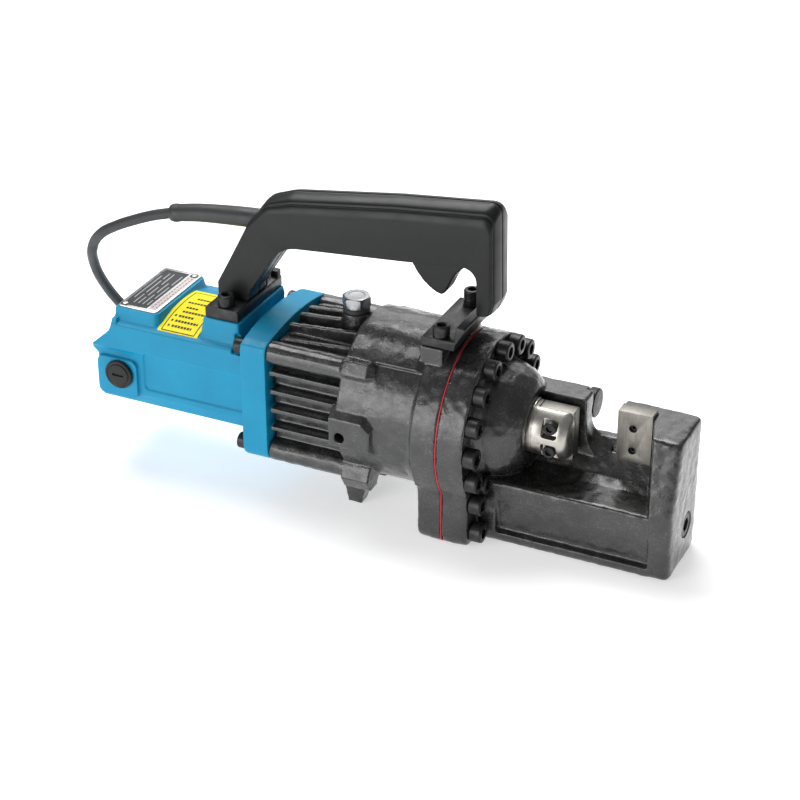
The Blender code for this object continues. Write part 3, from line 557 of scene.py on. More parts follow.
# ---- scene helpers
def add(name, bm, finish, body="machine", stands_for=(), sharp=35):
    """A piece from a bmesh in millimetres. finish names one of the LOOKS, or is a (slot, material)
    pair whose slot is not used.
    """
    slot, material = (finish, LOOKS[finish]) if isinstance(finish, str) else finish
    bm.transform(TO_WORLD)
    mesh = mesh_from(bm, name)
    mesh.shade_smooth()
    mesh.set_sharp_from_angle(angle=math.radians(sharp))
    mesh.materials.append(material)
    made = placed(name, mesh)
    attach(made, body)
    if stands_for:
        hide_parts(*stands_for)
    return made


def aim(thing, direction):
    thing.rotation_mode = "QUATERNION"
    thing.rotation_quaternion = direction.to_track_quat("-Z", "Y")


# ---- camera, floor and light
CAMERA_PLACE = (0.61785, -1.3113, 0.8941)
CAMERA_AZIMUTH, CAMERA_ELEVATION = 24.994, 29.258
LENS, SENSOR = 96.84, 36.0
LIGHTS = {                   # place, target, size and power
    "key": ((-0.55, -1.3, 0.44), (0, 0, 0.08), (0.9, 0.8), 9.5),
    "top": ((-0.4, 0.45, 1.3), (0, 0, 0.1), (1.2, 0.7), 19),
    "back": ((-0.3, 1.5, 0.85), (0, 0, 0.1), (1.6, 0.6), 5),
}


def camera():
    azimuth, elevation = math.radians(CAMERA_AZIMUTH), math.radians(CAMERA_ELEVATION)
    data = bpy.data.cameras.new("camera")
    data.lens = LENS
    data.sensor_width = SENSOR
    data.clip_end = 20
    made = placed("camera", data)
    made.location = CAMERA_PLACE
    back = Vector((math.sin(azimuth) * math.cos(elevation),
                   -math.cos(azimuth) * math.cos(elevation), math.sin(elevation)))
    aim(made, -back)
    bpy.context.scene.camera = made


def area_light(name, place, target, size, power):
    data = bpy.data.lights.new(name, "AREA")
    data.shape = "RECTANGLE"
    data.size, data.size_y = size
    data.energy = power
    made = placed(name, data)
    made.location = place
    made.visible_camera = False
    aim(made, Vector(target) - made.location)


def studio():
    scene = bpy.context.scene
    scene.view_settings.view_transform = "Standard"
    world = bpy.data.worlds.new("studio")
    world.use_nodes = True
    nodes, links = world.node_tree.nodes, world.node_tree.links
    soft = nodes["Background"]
    backdrop = nodes.new("ShaderNodeBackground")
    for light in (soft, backdrop):
        light.inputs["Color"].default_value = (1, 1, 1, 1)
    soft.inputs["Strength"].default_value = 0.22
    seen = nodes.new("ShaderNodeLightPath")
    either = nodes.new("ShaderNodeMixShader")
    links.new(seen.outputs["Is Camera Ray"], either.inputs["Fac"])
    links.new(soft.outputs["Background"], either.inputs[1])
    links.new(backdrop.outputs["Background"], either.inputs[2])
    links.new(either.outputs["Shader"], nodes["World Output"].inputs["Surface"])
    scene.world = world

    bm = bmesh.new()
    bmesh.ops.create_grid(bm, x_segments=2, y_segments=2, size=8)
    floor = placed("floor", mesh_from(bm, "floor"))
    floor.location.z = cad_box[0].z - 0.0002
    look = Look("floor_paper", roughness=0.9, specular=0.1)
    clouds = look.spread(look.noise(300, 2), 0.3, 0.7)
    look.colour(look.mix(clouds, (0.93, 0.93, 0.93), (0.95, 0.95, 0.95)))
    look.shader.inputs["Emission Color"].default_value = (1, 1, 1, 1)
    look.shader.inputs["Emission Strength"].default_value = 0.5
    floor.data.materials.append(look.material)

    for name, light in LIGHTS.items():
        area_light(name, *light)


# ---- mains lead
SLEEVE_ROUTE = [(-168, 0, 129.2), (-187, 0, 128.3), (-209, 0, 126.4), (-232, 0, 123.6),
                (-254.4, 0, 119.2)]
CORD_ROUTE = [(-255.4, 0, 118.9), (-272, 0, 113.7), (-290, 0, 106.3), (-307, 0.3, 98),
              (-323, 2, 87.5), (-336, 8, 71), (-343, 19, 49), (-343, 34, 22), (-337, 51, -5),
              (-325, 67, -31), (-307, 81.5, -54), (-284, 93, -70.5), (-259, 102, -79),
              (-236, 108.5, -80.7), (-218, 112, -80.7), (-201.6, 112.7, -80.7)]


def ease(share):
    share = min(1.0, max(0.0, share))
    return share * share * (3 - 2 * share)


def coil_route():
    """Four turns, two beside and two on them. The end passes over the last turn to the plug."""
    inner, outer = COIL_R - CORD_D / 2, COIL_R + CORD_D / 2
    low, level = GROUND + CORD_D / 2 + 0.05, CORD_D + 0.05
    points = []
    steps = 24

    def on_circle(radius, turn):
        theta = math.radians(360 * turn - 90)
        return (COIL_CENTRE[0] + radius * math.cos(theta),
                COIL_CENTRE[1] + radius * math.sin(theta))

    for i in range(4 * steps):
        turn = i / steps
        before = 360 * (1 - turn % 1)
        past = 360 - before
        radius, height = outer, low
        if turn < 1 and before < 60:
            radius = min(outer, inner / max(0.2, math.cos(math.radians(before))))
        elif 1 <= turn < 2:
            radius, height = inner, low + level * ease((past - 275) / 65)
        elif 2 <= turn < 3:
            radius, height = inner + (outer - inner) * ease((past - 250) / 80), low + level
        elif turn >= 3:
            height = low + level * (1 + ease((past - 265) / 65))
        points.append((*on_circle(radius, turn), height))
    top = low + 2 * level
    points.append((*on_circle(outer, 4), top))
    for x, drop in ((-158, 0.0), (-148, 0.8), (-138, 2.9), (-127, 6.1), (-117, 8.2),
                    (PLUG_START + 4, 8.7)):
        points.append((x, COIL_CENTRE[1] - outer, top - drop))
    return points


def curve_through(name, points, radius, material):
    curve = bpy.data.curves.new(name, "CURVE")
    curve.dimensions = "3D"
    curve.bevel_depth = radius * MM
    curve.bevel_resolution = 8
    curve.resolution_u = 6
    curve.use_fill_caps = True
    spline = curve.splines.new("BEZIER")
    spline.bezier_points.add(len(points) - 1)
    for point, place in zip(spline.bezier_points, points):
        point.co = TO_WORLD @ Vector(place)
        point.handle_left_type = point.handle_right_type = "AUTO"
    curve.materials.append(material)
    return placed(name, curve)


def smooth_route(points, step):
    """Points about one step apart on a smooth curve through the route's own points."""
    points = [Vector(p) for p in points]
    ends = [points[0] * 2 - points[1]] + points + [points[-1] * 2 - points[-2]]
    made = []
    for p0, p1, p2, p3 in zip(ends, ends[1:], ends[2:], ends[3:]):
        count = max(1, round((p2 - p1).length / step))
        for i in range(count):
            t = i / count
            made.append(0.5 * (2 * p1 + (p2 - p0) * t + (2 * p0 - 5 * p1 + 4 * p2 - p3) * t ** 2
                               + (3 * p1 - p0 - 3 * p2 + p3) * t ** 3))
    return made + [points[-1]]


def swept(route, radii, sides=40):
    """A round bar along a route, with a radius at each of its points."""
    rings = []
    for i, place in enumerate(route):
        ahead = (route[min(i + 1, len(route) - 1)] - route[max(i - 1, 0)]).normalized()
        side = ahead.cross(Vector((0, 0, 1))).normalized()
        up = side.cross(ahead)
        circle = arc((0, 0), radii[i], 0, 360, sides)[:-1]
        rings.append([place + side * a + up * b for a, b in circle])
    return layers(rings)


def mains_lead():
    route = smooth_route(SLEEVE_ROUTE, 2.2)
    count = len(route)
    radii = [8.1 - 1.3 * (i / (count - 1)) for i in range(count)]
    for i in (-3, -2, -1):
        radii[i] += 0.45
    for i in (0, -1):
        radii[i] -= 0.6
    add("bend_guard", swept(route, radii), "rubber", stands_for=["strain_relief"])

    lead = curve_through("mains_cord", CORD_ROUTE + coil_route(), CORD_D / 2, LOOKS["rubber"])
    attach(lead, "machine")
    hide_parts("cord", "cord_coil")
    plug_body, plug_pins = mains_plug()
    tie = cord_tie()


def mains_plug():
    """The moulded body with its ribbed neck and grips, and the two pins."""
    axis_z = GROUND + 12.6
    y = COIL_CENTRE[1] - COIL_R - CORD_D / 2
    place = (0, y, axis_z)
    neck = [(PLUG_START, 0), (PLUG_START, 4.6), (PLUG_START + 0.6, 5.2)]
    for i in range(5):
        at, grow = PLUG_START + 2.4 + 3.2 * i, 0.3 * i
        neck += [(at, 5.3 + grow), (at + 0.4, 4.7 + grow), (at + 1.4, 4.7 + grow),
                 (at + 1.8, 5.4 + grow)]
    neck += [(PLUG_START + 19, 6.6), (PLUG_START + 19, 0)]
    plug = turned(neck, place, steps=48)
    grip = rounded([(-15, -12.4, 6), (15, -12.4, 6), (15, 12.4, 6), (-15, 12.4, 6)], 8)
    stations = ((14, 0.45, 0.55), (17, 0.5, 0.68), (21, 0.68, 0.88), (26, 0.85, 0.99),
                (32, 0.86, 0.99), (38, 0.9, 0.99), (44, 0.98, 0.99), (47.5, 1, 0.99),
                (49.4, 0.97, 0.96), (50, 0.93, 0.93))
    body = layers([[(PLUG_START + x, y + a * wide, axis_z + b * high) for a, b in grip]
                   for x, wide, high in stations])
    ridges = []
    for side in (-1, 1):
        for i in range(4):
            x = PLUG_START + 27 + 3.4 * i
            across = [y + reach for reach in between(side, 12.2, 16)]
            ridges.append(block((x, x + 1.3), across, (axis_z - 8, axis_z + 8)))
    body = carve(body, merged(ridges))
    plug_body = add("plug_body", bevelled(fuse(plug, body), 0.35), "rubber", stands_for=["plug"])
    root, tip, low, high = PLUG_START + 50.1, PLUG_START + 67, axis_z - 3.1, axis_z + 3.1
    pin = rounded([(root, low, 0), (tip, low, 1.6), (tip, high, 1.6), (root, high, 0)])
    pins = [prism(pin, "Y", *[y + reach for reach in between(side, 5.4, 7.0)]) for side in (-1, 1)]
    return plug_body, add("plug_pins", bevelled(merged(pins), 0.25), "zinc")


def cord_tie():
    theta = math.radians(35)
    out = Vector((math.cos(theta), math.sin(theta), 0))
    along = Vector((-math.sin(theta), math.cos(theta), 0))
    middle = Vector((*COIL_CENTRE, GROUND + CORD_D + 0.5)) + out * COIL_R
    rings = []
    for reach, grow in ((-4.5, 0.55), (-4.2, 0.9), (4.2, 0.9), (4.5, 0.55)):
        loop = box_outline(-8.6 - grow, 8.6 + grow, -8.8, 8.7 + grow, 4.6)
        rings.append([middle + along * reach + out * a + Vector((0, 0, b)) for a, b in loop])
    return add("cord_tie", layers(rings), "black_plastic")


# ---- motor end
def motor_end():
    """The housing with recessed side panels and a wall closing its rear, the ring and the caps."""
    recess = box_outline(-260.5, -160, -15.7, 17.4, 5)
    panels = [prism(recess, "Y", *between(side, 45.9, 49.5)) for side in (-1, 1)]
    hood = [(-305.6, 12.5), (-305.6, 16.4), (-295.4, 25.2), (-291.4, 29.3), (-289.3, 34),
            (-288.5, 41), (-284, 41), (-284.6, 34), (-287, 28.5), (-290.8, 23.2), (-297.5, 17),
            (-298.5, 9), (-301, 9)]
    shell = append(carve(from_node("motor_housing"), *panels), prism(hood, "Y", -45, 45))
    add("motor_shell", skinned(shell, 0.8, 4, 100000, *PAINT_RELIEF), "blue_paint",
        stands_for=["motor_housing"])
    ring = skinned(from_node("bearing_plate"), 1.0, 5, 50000, *PAINT_RELIEF)
    add("motor_front_ring", ring, "blue_paint", stands_for=["bearing_plate"])
    for side, word in SIDES:
        profile = [(49, 0), (49, 5.4), (32, 5.4), (32, 7.2), (51.9, 7.2), (51.9, 11.6), (52.3, 12),
                   (54.3, 12), (54.9, 11.5), (55.1, 10.4), (54.6, 9.6), (54.6, 9.0), (55.2, 8.6),
                   (55.35, 7.6), (55.2, 0)]
        cap = turned([(side * y, r) for y, r in profile], (BRUSH_X, 0, MOTOR_Z), "Y", 72)
        slot = block((BRUSH_X - 5, BRUSH_X + 5), between(side, 54, 60),
                     (MOTOR_Z - 1.1, MOTOR_Z + 1.1))
        add("brush_cap_disc_" + word, carve(cap, slot), "black_plastic",
            stands_for=["brush_cap_" + word])


def printed(name, field, mark):
    """Print on metal or film: flat colours with a slight ink edge and screen grain."""
    look = Look(name, roughness=0.42, specular=0.2)
    look.colour(look.mix(look.spread(look.noise(1.2, 2), 0.3, 0.7, 0, 0.35), field, mark))
    look.roughness(look.noise(3, 2), 0.36, 0.5)
    look.bump(look.noise(0.8, 2), 0.006)
    return look.material


def data_plate():
    """A stamped plate with a dark printed field of plain rules and two rivets."""
    plate = layers([
        [(x, y, z) for x, y in box_outline(-287 + g, -252.5 - g, -37 + g, 37 - g, 3 - g)]
        for z, g in ((48.7, 0), (49.35, 0), (PLATE_TOP, 0.25))])
    add("data_plate", plate, "aluminium", stands_for=["nameplate"])
    ink = printed("plate_ink", (0.05, 0.052, 0.055), (0.085, 0.087, 0.09))
    pale = printed("plate_pale", (0.6, 0.6, 0.6), (0.72, 0.72, 0.72))
    rule = printed("plate_rule", (0.4, 0.41, 0.42), (0.5, 0.5, 0.52))
    red = printed("plate_red", (0.5, 0.16, 0.15), (0.42, 0.1, 0.1))
    film, over = (PLATE_TOP + 0.02, PLATE_TOP + 0.06), (PLATE_TOP + 0.07, PLATE_TOP + 0.1)
    add("plate_field", block((-284.2, -262.6), (-33.6, 33.6), film), (None, ink))
    add("plate_band", block((-261.6, -254.2), (-33.6, 33.6), film), (None, pale))
    rules = []
    for x, spans in ((-281.6, ((-20, 22),)), (-277.4, ((-28, -12), (-9, 14), (17, 28))),
                     (-273.4, ((-28, -16), (-13, 3), (8, 28))), (-269.4, ((-28, -10), (-6, 12))),
                     (-265.4, ((-28, -19), (-16, 6), (10, 27)))):
        for lo, hi in spans:
            rules.append(block((x - 0.55, x + 0.55), (lo, hi), over))
    add("plate_rules", merged(rules), (None, rule))
    marks = [block((x - 0.5, x + 0.5), (-30 + 4.2 * i, -27.4 + 4.2 * i), over)
             for x in (-259.6, -256.2) for i in range(14)]
    add("plate_marks", merged(marks), (None, red))
    for x, y, word in ((-282.6, -32.4, "near"), (-257.4, 32.4, "far")):
        place = (x, y, PLATE_TOP)
        # A dark ring round each rivet head: painted shade of the rivet's dimple, in the plate's
        # ink.
        ring = turned([(0.02, 2.6), (0.02, 3.5), (0.12, 3.5), (0.12, 2.6)], place, "Z", 36)
        add("plate_dimple_" + word, ring, (None, ink))
        head = turned([(0.1, 0), (0.1, 2.5), (0.5, 2.45), (0.9, 2.0), (1.2, 1.1), (1.28, 0)], place,
                      "Z", 36)
        add("plate_rivet_" + word, head, "bright_steel")


def warning_label():
    """A yellow film on the housing's arch, framed and ruled with plain bars."""
    arch_r, arch_z = 115.5, -70.0

    def on_arch(x, share, lift):
        """share runs from 0 at the near lower edge to 1 past the crown."""
        angle = math.radians(112.6 - 37.6 * share)
        radius = arch_r + lift
        y, z = radius * math.cos(angle), arch_z + radius * math.sin(angle)
        side = max(0.0, -41.4 - y)
        return (x, y - side * 0.1, z - side * 1.25)

    def patch(x_lo, x_hi, s_lo, s_hi, lift, thick=0.06):
        steps = max(2, round(48 * (s_hi - s_lo)))
        rings = []
        for i in range(steps + 1):
            share = s_lo + (s_hi - s_lo) * i / steps
            rings.append([on_arch(x_lo, share, lift), on_arch(x_hi, share, lift),
                          on_arch(x_hi, share, lift + thick), on_arch(x_lo, share, lift + thick)])
        return layers(rings)

    yellow = printed("label_yellow", (1.0, 0.84, 0.01), (0.96, 0.76, 0.01))
    ink = printed("label_ink", (0.03, 0.027, 0.012), (0.06, 0.05, 0.02))
    add("label_film", patch(-249, -213.5, 0.0, 0.86, 0.42), (None, yellow), sharp=20)
    lines = []
    frame_lo, frame_hi, low, high = -245.6, -216.8, 0.055, 0.80
    for x in (frame_lo, frame_hi):
        lines.append(patch(x - 0.4, x + 0.4, low, high, 0.5, 0.05))
    for share in (low, high):
        lines.append(patch(frame_lo, frame_hi, share - 0.0055, share + 0.0055, 0.5, 0.05))
    for share, spans in ((0.13, ((-243, -241.4), (-239.5, -222))),
                         (0.21, ((-243, -241.4), (-239.5, -219.5))),
                         (0.29, ((-243, -241.4), (-239.5, -226))),
                         (0.37, ((-239.5, -220),)), (0.45, ((-239.5, -229),)),
                         (0.55, ((-242, -221),)), (0.65, ((-238, -225),))):
        for lo, hi in spans:
            x = lo
            while x < hi - 0.5:
                lines.append(patch(x, min(x + 2.1, hi), share - 0.016, share + 0.016, 0.5, 0.05))
                x += 2.7
    add("label_print", merged(lines), (None, ink), sharp=20)


# ---- castings
def on_block(place):
    """The straight lower part of the flanges, near its outer edges."""
    outer = abs(place.y) > 44 or place.z < -79
    return abs(place.x) < FLANGE_END and place.z < -36 and outer


def cylinder_casting():
    """The finned chamber with a saddle on top, proud drain pads and larger hexagonal bosses."""
    skin = turned([(-84, 59.5), (-84, CYLINDER_R), (-10, CYLINDER_R), (-10, 59.5)], RAM_AXIS,
                  steps=180)
    skin = carve(skin, rod(4, -70, -50, DRAIN, "Y", 32))
    rim = turned([(-20.5, 66), (-20.5, FLANGE_R), (-0.8, FLANGE_R), (-0.8, 66)], steps=200)
    fillet = turned([(-28, 58), (-28, 62.0), (-25, 62.9), (-22.6, 64.2), (-21, 66.2), (-20, 67),
                     (-20, 58)], (0, 0, 1.0), steps=180)
    saddle = turned([(-83.6, 59.5), (-83.6, 64.9), (-82.2, 65.8), (-27.4, 65.9), (-21, 63.5),
                     (-21, 59.5)], RAM_AXIS, steps=80, sweep=(47.5, 132.5))
    face = [(-88, -12), (-55, -12), (-54, 4), (-61, 10.6), (-88, 10.6)]
    root = [(-88, -18), (-50, -18), (-50, 12), (-58, 20), (-88, 20)]
    pads = [layers([[(x, side * y, z) for x, z in ring] for y, ring in ((67.8, face), (58, root))])
            for side in (-1, 1)]
    pads[0] = carve(pads[0], rod(4, -72, -50, DRAIN, "Y", 32))
    bosses = []
    for side in (-1, 1):
        centre = Vector((side * 44.5, 43.5))
        bosses.append(layers([[(x, *(centre + Vector(p))) for p in hexagon(across)]
                              for x, across in ((-80, 10.9), (-62.5, 10.9), (-57, 7.2))]))
    body = append(from_node("cylinder_body"), skin, rim, fillet, saddle, *pads, *bosses)
    body = skinned(body, 0.85, 3, CAST_FACES, 0.32, 7, lambda p: p.x < -9 and on_block(p))
    add("cylinder_casting", body, "black_casting", stands_for=["cylinder_body"], sharp=60)


def head_casting():
    """The cutter head with a rounder dome, a recessed spine panel and room for the ram's stroke."""
    rim = turned([(0.8, 66), (0.8, FLANGE_R), (20.9, FLANGE_R), (20.9, 66)], steps=200)
    dome = turned([(18, 25), (18, 49.5), (21, 48.7), (26, 46.4), (30, 45.1), (35, 43.3), (40, 41.1),
                   (44, 38.8), (47.5, 35.9), (50.3, 32.8), (52.3, 30.2), (53.2, 28.5), (53.2, 25)],
                  RAM_AXIS, steps=180)
    fillet = turned([(20.4, 44), (20.4, 52), (22.4, 51), (24.4, 49), (27, 46.5), (27, 44)],
                    (0, 0, BORE_Z - 1), steps=160)
    recess = ((-36.5, -46), (-36.5, -76), (-29.8, -74.4), (-29.8, -71), (-33.2, -54),
              (-34.7, -47.4))
    panel = layers([[(x, y, z) for y, z in recess] for x in (36, 157)])
    sweep = carve(rod(RAM_ROOM, -44, 118.4, RAM_AXIS, steps=96),
                  block((54.4, 130), (SHEAR_Y, 60), (-60, 60)))
    node = carve(from_node("cutter_head"), panel, sweep)
    body = append(node, rim, carve(dome, rod(RAM_ROOM, 0, 60, RAM_AXIS, steps=96)), fillet)

    def rubbed(p):
        around_plug = math.hypot(p.y - JAW_PLUG_Y, p.z - JAW_PLUG_Z) < 15
        return (p.x > 9 and on_block(p)) or (p.x > JAW_TIP - 16 and not around_plug)
    add("head_casting", skinned(body, 0.8, 3, CAST_FACES, 0.42, 6.5, rubbed), "black_casting",
        stands_for=["cutter_head"], sharp=60)


def gasket():
    sheet = layers([[(x, y, z) for y, z in keyhole(grow)]
                    for x, grow in ((-0.5, -0.35), (-0.3, -0.1), (0.3, -0.1), (0.5, -0.35))])
    holes = [rod(5.6, -5, 5, (0, y, z), steps=24) for y, z in bolt_places()]
    sheet = carve(sheet, rod(44, -5, 5, RAM_AXIS, steps=96), merged(holes))
    add("gasket_sheet", sheet, "red_gasket", stands_for=["head_gasket"])


def filler():
    place = (FILLER_X, 0, 0)
    seal = turned([(68.8, 6.1), (68.8, 9.9), (69.2, 10.4), (72.2, 10.4), (72.6, 9.9), (72.6, 6.1)],
                  place, "Z", 64)
    add("filler_seal", seal, "rubber")
    flats = prism(hexagon(11.3, (FILLER_X, 0), 10), "Z", 73.6, 81.5)
    dome = turned([(73, 0), (73, 11.6), (80.2, 11.6), (81.1, 10.2), (81.5, 9.2), (81.5, 0)],
                  place, "Z", 72)
    washer = turned([(50, 0), (50, 5.2), (51, 6), (72.7, 6), (72.7, 10.1), (73.9, 10.1), (73.9, 0)],
                    place, "Z", 64)
    dish = turned([(81.1, 0), (81.1, 6.2), (81.8, 6.9), (81.8, 0)], place, "Z", 48)
    head = fuse(washer, combine(flats, "INTERSECT", dome))
    add("filler_hex", bevelled(carve(head, dish), 0.3), "zinc", stands_for=["filler_bolt"])


# ---- ram, blades and jaw pieces
def ram():
    profile = [(-70, 0), (-70, 38.8), (-69.2, 39.6), (-60, 39.7), (-60, 36.5), (-54, 36.5),
               (-54, 39.7), (-40.8, 39.7), (-40, 39), (-40, ROD_R), (49.2, ROD_R)]
    profile += [(x, ROD_R - inset) for x, inset in (
        (49.5, 0.25), (50.2, 0.25), (50.5, 0), (56.2, 0), (56.5, 0.25), (57.0, 0.25), (57.3, 0),
        (77.3, 0), (79.2, 0.25), (81, 0.95), (82.5, 1.9), (83.8, 3.2), (84.7, 4.9), (85.2, 6.9),
        (85.45, 9.5))]
    body = turned(profile + [(85.5, 0)], RAM_AXIS, steps=144)
    pockets = [prism(box_outline(64.5, 77, z - 7.5, z + 7.5, 2.5), "Y", -30, -14.5)
               for z in RAM_SCREWS_Z]
    holes = [rod(3.1, -16, 0, (RAM_SCREW_X, 0, z), "Y", 24) for z in RAM_SCREWS_Z]
    body = carve(body, block((54.5 - STROKE - 1, 95), (SHEAR_Y - 0.3, 40), (-40, 50)),
                 block((57, 95), (-6, 40), (-40, 50)),
                 block((54.5, 95), (-40, 40), (BORE_Z + 19.5, 50)), merged(pockets), merged(holes))
    add("ram_rod", bevelled(body, 0.3, 50), "bright_steel", "ram", ["ram"])
    seal = turned([(-59.7, 36.8), (-59.7, 39.3), (-59.4, 39.6), (-54.6, 39.6), (-54.3, 39.3),
                   (-54.3, 36.8)], RAM_AXIS)
    add("ram_ring", seal, "rubber", "ram", ["ram_seal"])


def blades():
    """The ram's blade and the jaw's, each with two socket screws."""
    blade = prism(box_outline(57.3, 85, -16.5, BORE_Z + 19.4, 0.8, 3), "Y", -5.7, SHEAR_Y - 0.2)
    holes = [rod(3.2, -10, 1, (RAM_SCREW_X, 0, z), "Y", 24) for z in RAM_SCREWS_Z]
    blade = bevelled(carve(blade, merged(holes)), 0.3, 50)
    add("blade_on_ram", blade, "blade_steel", "ram", ["movable_blade"])
    for z, word in zip(RAM_SCREWS_Z, ("upper", "lower")):
        screw = turned([(-19.5, 0), (-19.5, 4.3), (-19.1, 4.8), (-18.6, 5), (-15, 5), (-14.8, 4.8),
                        (-14.8, 2.8), (0.5, 2.8), (0.5, 0)], (RAM_SCREW_X, 0, z), "Y", 48)
        socket = prism(hexagon(2.9, (RAM_SCREW_X, z)), "Y", -22, -16.5)
        add("blade_screw_head_" + word, bevelled(carve(screw, socket), 0.15, 40), "black_steel",
            "ram", ["blade_screw_" + word])

    blade = prism(box_outline(114.8, 142, -13.5, 28.5, 0.8, 3), "Y", SHEAR_Y + 0.1, SHEAR_Y + 12)
    holes = [rod(3, 0, 30, (JAW_SCREW_X, 0, z), "Y", 40) for z in JAW_SCREWS_Z]
    blade = bevelled(carve(blade, merged(holes)), 0.35, 50)
    add("blade_on_jaw", blade, "blade_steel", "machine", ["fixed_blade"])
    for z, word in zip(JAW_SCREWS_Z, ("upper", "lower")):
        pin = rod(2.8, SHEAR_Y + 2.6, SHEAR_Y + 11.5, (JAW_SCREW_X, 0, z), "Y", 32)
        socket = prism(hexagon(1.5, (JAW_SCREW_X, z)), "Y", SHEAR_Y, SHEAR_Y + 5)
        add("jaw_screw_" + word, bevelled(carve(pin, socket), 0.2, 40), "black_steel")


def stopper_and_plug():
    disc = turned([(58, 0), (58, 4.4), (58.6, 5), (81.4, 5), (81.4, 10.7), (82.2, 11.5),
                   (87.8, 11.5), (88.6, 10.7), (88.6, 0)], (0, STOPPER_Y, STOPPER_Z), steps=96)
    add("stopper_screw", bevelled(disc, 0.25, 40), "black_steel", "stopper", ["stopper_bolt"])
    face = JAW_TIP - 0.6
    body = turned([(JAW_TIP - 10.5, 0), (JAW_TIP - 10.5, 9.8), (JAW_TIP - 1.4, 9.8), (face, 9.1),
                   (face, 0)], (0, JAW_PLUG_Y, JAW_PLUG_Z), steps=72)
    socket = prism(hexagon(5.8, (JAW_PLUG_Y, JAW_PLUG_Z)), "X", JAW_TIP - 7, JAW_TIP + 2)
    add("jaw_end_plug", bevelled(carve(body, socket), 0.25, 40), "black_steel",
        stands_for=["jaw_plug"])


# ---- screws
def bolt_places():
    for i in range(-5, 6):
        angle = math.radians(BOLT_STEP * i)
        yield -BOLT_CIRCLE_R * math.sin(angle), BOLT_CIRCLE_R * math.cos(angle)


def cap_screw(radius, height, shank, length):
    """A socket head cap screw with a knurled head, standing on its origin along X."""
    sides, rings = 72, []
    for x, r, knurl in (
            (-length, shank * 0.8, 0), (-length + 0.8, shank, 0), (-0.01, shank, 0),
            (0, radius - 0.3, 0), (0.35, radius - 0.02, 0), (0.7, radius, 0.16),
            (height - 1.4, radius, 0.16), (height - 1.0, radius - 0.05, 0),
            (height - 0.35, radius - 0.45, 0), (height, radius - 1.1, 0)):
        ring = []
        for k in range(sides):
            angle = 2 * math.pi * k / sides
            reach = r - (knurl if k % 2 else 0)
            ring.append((x, reach * math.cos(angle), reach * math.sin(angle)))
        rings.append(ring)
    body = layers(rings)
    socket = prism(hexagon(radius * 0.58), "X", height * 0.45, height + 3)
    lead = turned([(height - 0.45, 0), (height - 0.45, radius * 0.5),
                   (height + 1, radius * 0.5 + 1.45), (height + 1, 0)], steps=36)
    return carve(body, socket, lead)


SCREW_TURNS = {"X": Matrix(), "-X": Matrix.Rotation(math.pi, 4, "Z"), "Z": AXIS_TURN["Z"]}
SCREW_SIZES = {              # head radius and height, shank radius and length
    "head": (7.9, 9.2, 5, 36), "housing": (6.4, 8, 4, 30), "bracket": (6.4, 8.6, 4, 16),
    "rear": (6.4, 8.6, 2.1, 17), "plain": (7.9, 9.2, 5, 0.3),
}
BLOCK_SCREWS = [(47.4, -47.1), (45, -72.5), (38.3, -33.3)]


def screws():
    patterns = {kind: mesh_from(cap_screw(*sizes)) for kind, sizes in SCREW_SIZES.items()}

    def put(name, kind, place, axis, spin, stands_for=()):
        bm = bmesh.new()
        bm.from_mesh(patterns[kind])
        turn = SCREW_TURNS[axis] @ Matrix.Rotation(math.radians(spin), 4, "X")
        bm.transform(Matrix.Translation(place) @ turn)
        add(name, bm, "black_steel", stands_for=stands_for, sharp=40)

    for i, (y, z) in enumerate(bolt_places()):
        put("flange_screw_%02d" % (i + 1), "head", (21.8, y, z), "X", 17 * i,
            ["head_bolt_%02d" % (i + 1)])
    for i, (y, z) in enumerate([(side * y, z) for y, z in BLOCK_SCREWS for side in (-1, 1)]):
        put("block_screw_%d" % (i + 1), "plain", (21.9, y, z), "X", 29 * i)
    for y, side in ((-44, "left"), (44, "right")):
        for z, level in ((-42, "lower"), (42, "upper")):
            put("motor_screw_%s_%s" % (side, level), "housing", (-169.5, y, z), "-X", y + z,
                ["housing_bolt_%s_%s" % (side, level)])
    for side, word in SIDES:
        lift = 3.6 if side > 0 else 0       # two spring washers under the far screw
        put("front_bracket_screw_" + word, "bracket",
            (FRONT_FOOT_X, side * FRONT_FOOT_Y, 78.8 + lift), "Z", 20 * side,
            ["front_bracket_bolt_" + word])
        put("rear_bracket_screw_" + word, "rear", (-194, side * 28, 65.3), "Z", 50 * side,
            ["rear_bracket_bolt_" + word])
    for i in range(2):
        z = 78.7 + 1.8 * i
        washer = turned([(z, 4.2), (z, 6.6 - 0.2), (z + 0.2, 6.6), (z + 1.4, 6.6), (z + 1.6, 6.4),
                         (z + 1.6, 4.2)], (FRONT_FOOT_X, FRONT_FOOT_Y, 0), "Z", 48)
        add("spring_washer_%d" % (i + 1), washer, "black_steel")


# ---- handle
HANDLE_SECTION = [           # distance from the seam, share of the way to the side face, inset
    (SEAM, 0, 1.3), (0.55, 0, 0.9), (0.9, 0.01, 0.15), (1.6, 0.015, 0), (3.5, 0.035, 0),
    (5.5, 0.075, 0), (7.5, 0.135, 0), (9.5, 0.21, 0), (11.0, 0.29, 0), (11.7, 0.335, 0.1),
    (12.0, 0.355, 0.5), (12.3, 0.375, 1.3), (13.0, 0.42, 1.5), (13.4, 0.45, 0.8),
    (13.7, 0.47, 0.2), (14.2, 0.51, 0), (14.9, 0.59, 0), (15.5, 0.69, 0), (16.0, 0.8, 0),
    (16.35, 0.92, 0.05), (HANDLE_HALF, 1, 0.35),
]
HANDLE_SCREWS = [(-190, 86), (-168, 122), (-100, 132), (-62, 141), (10, 150), (14, 112)]


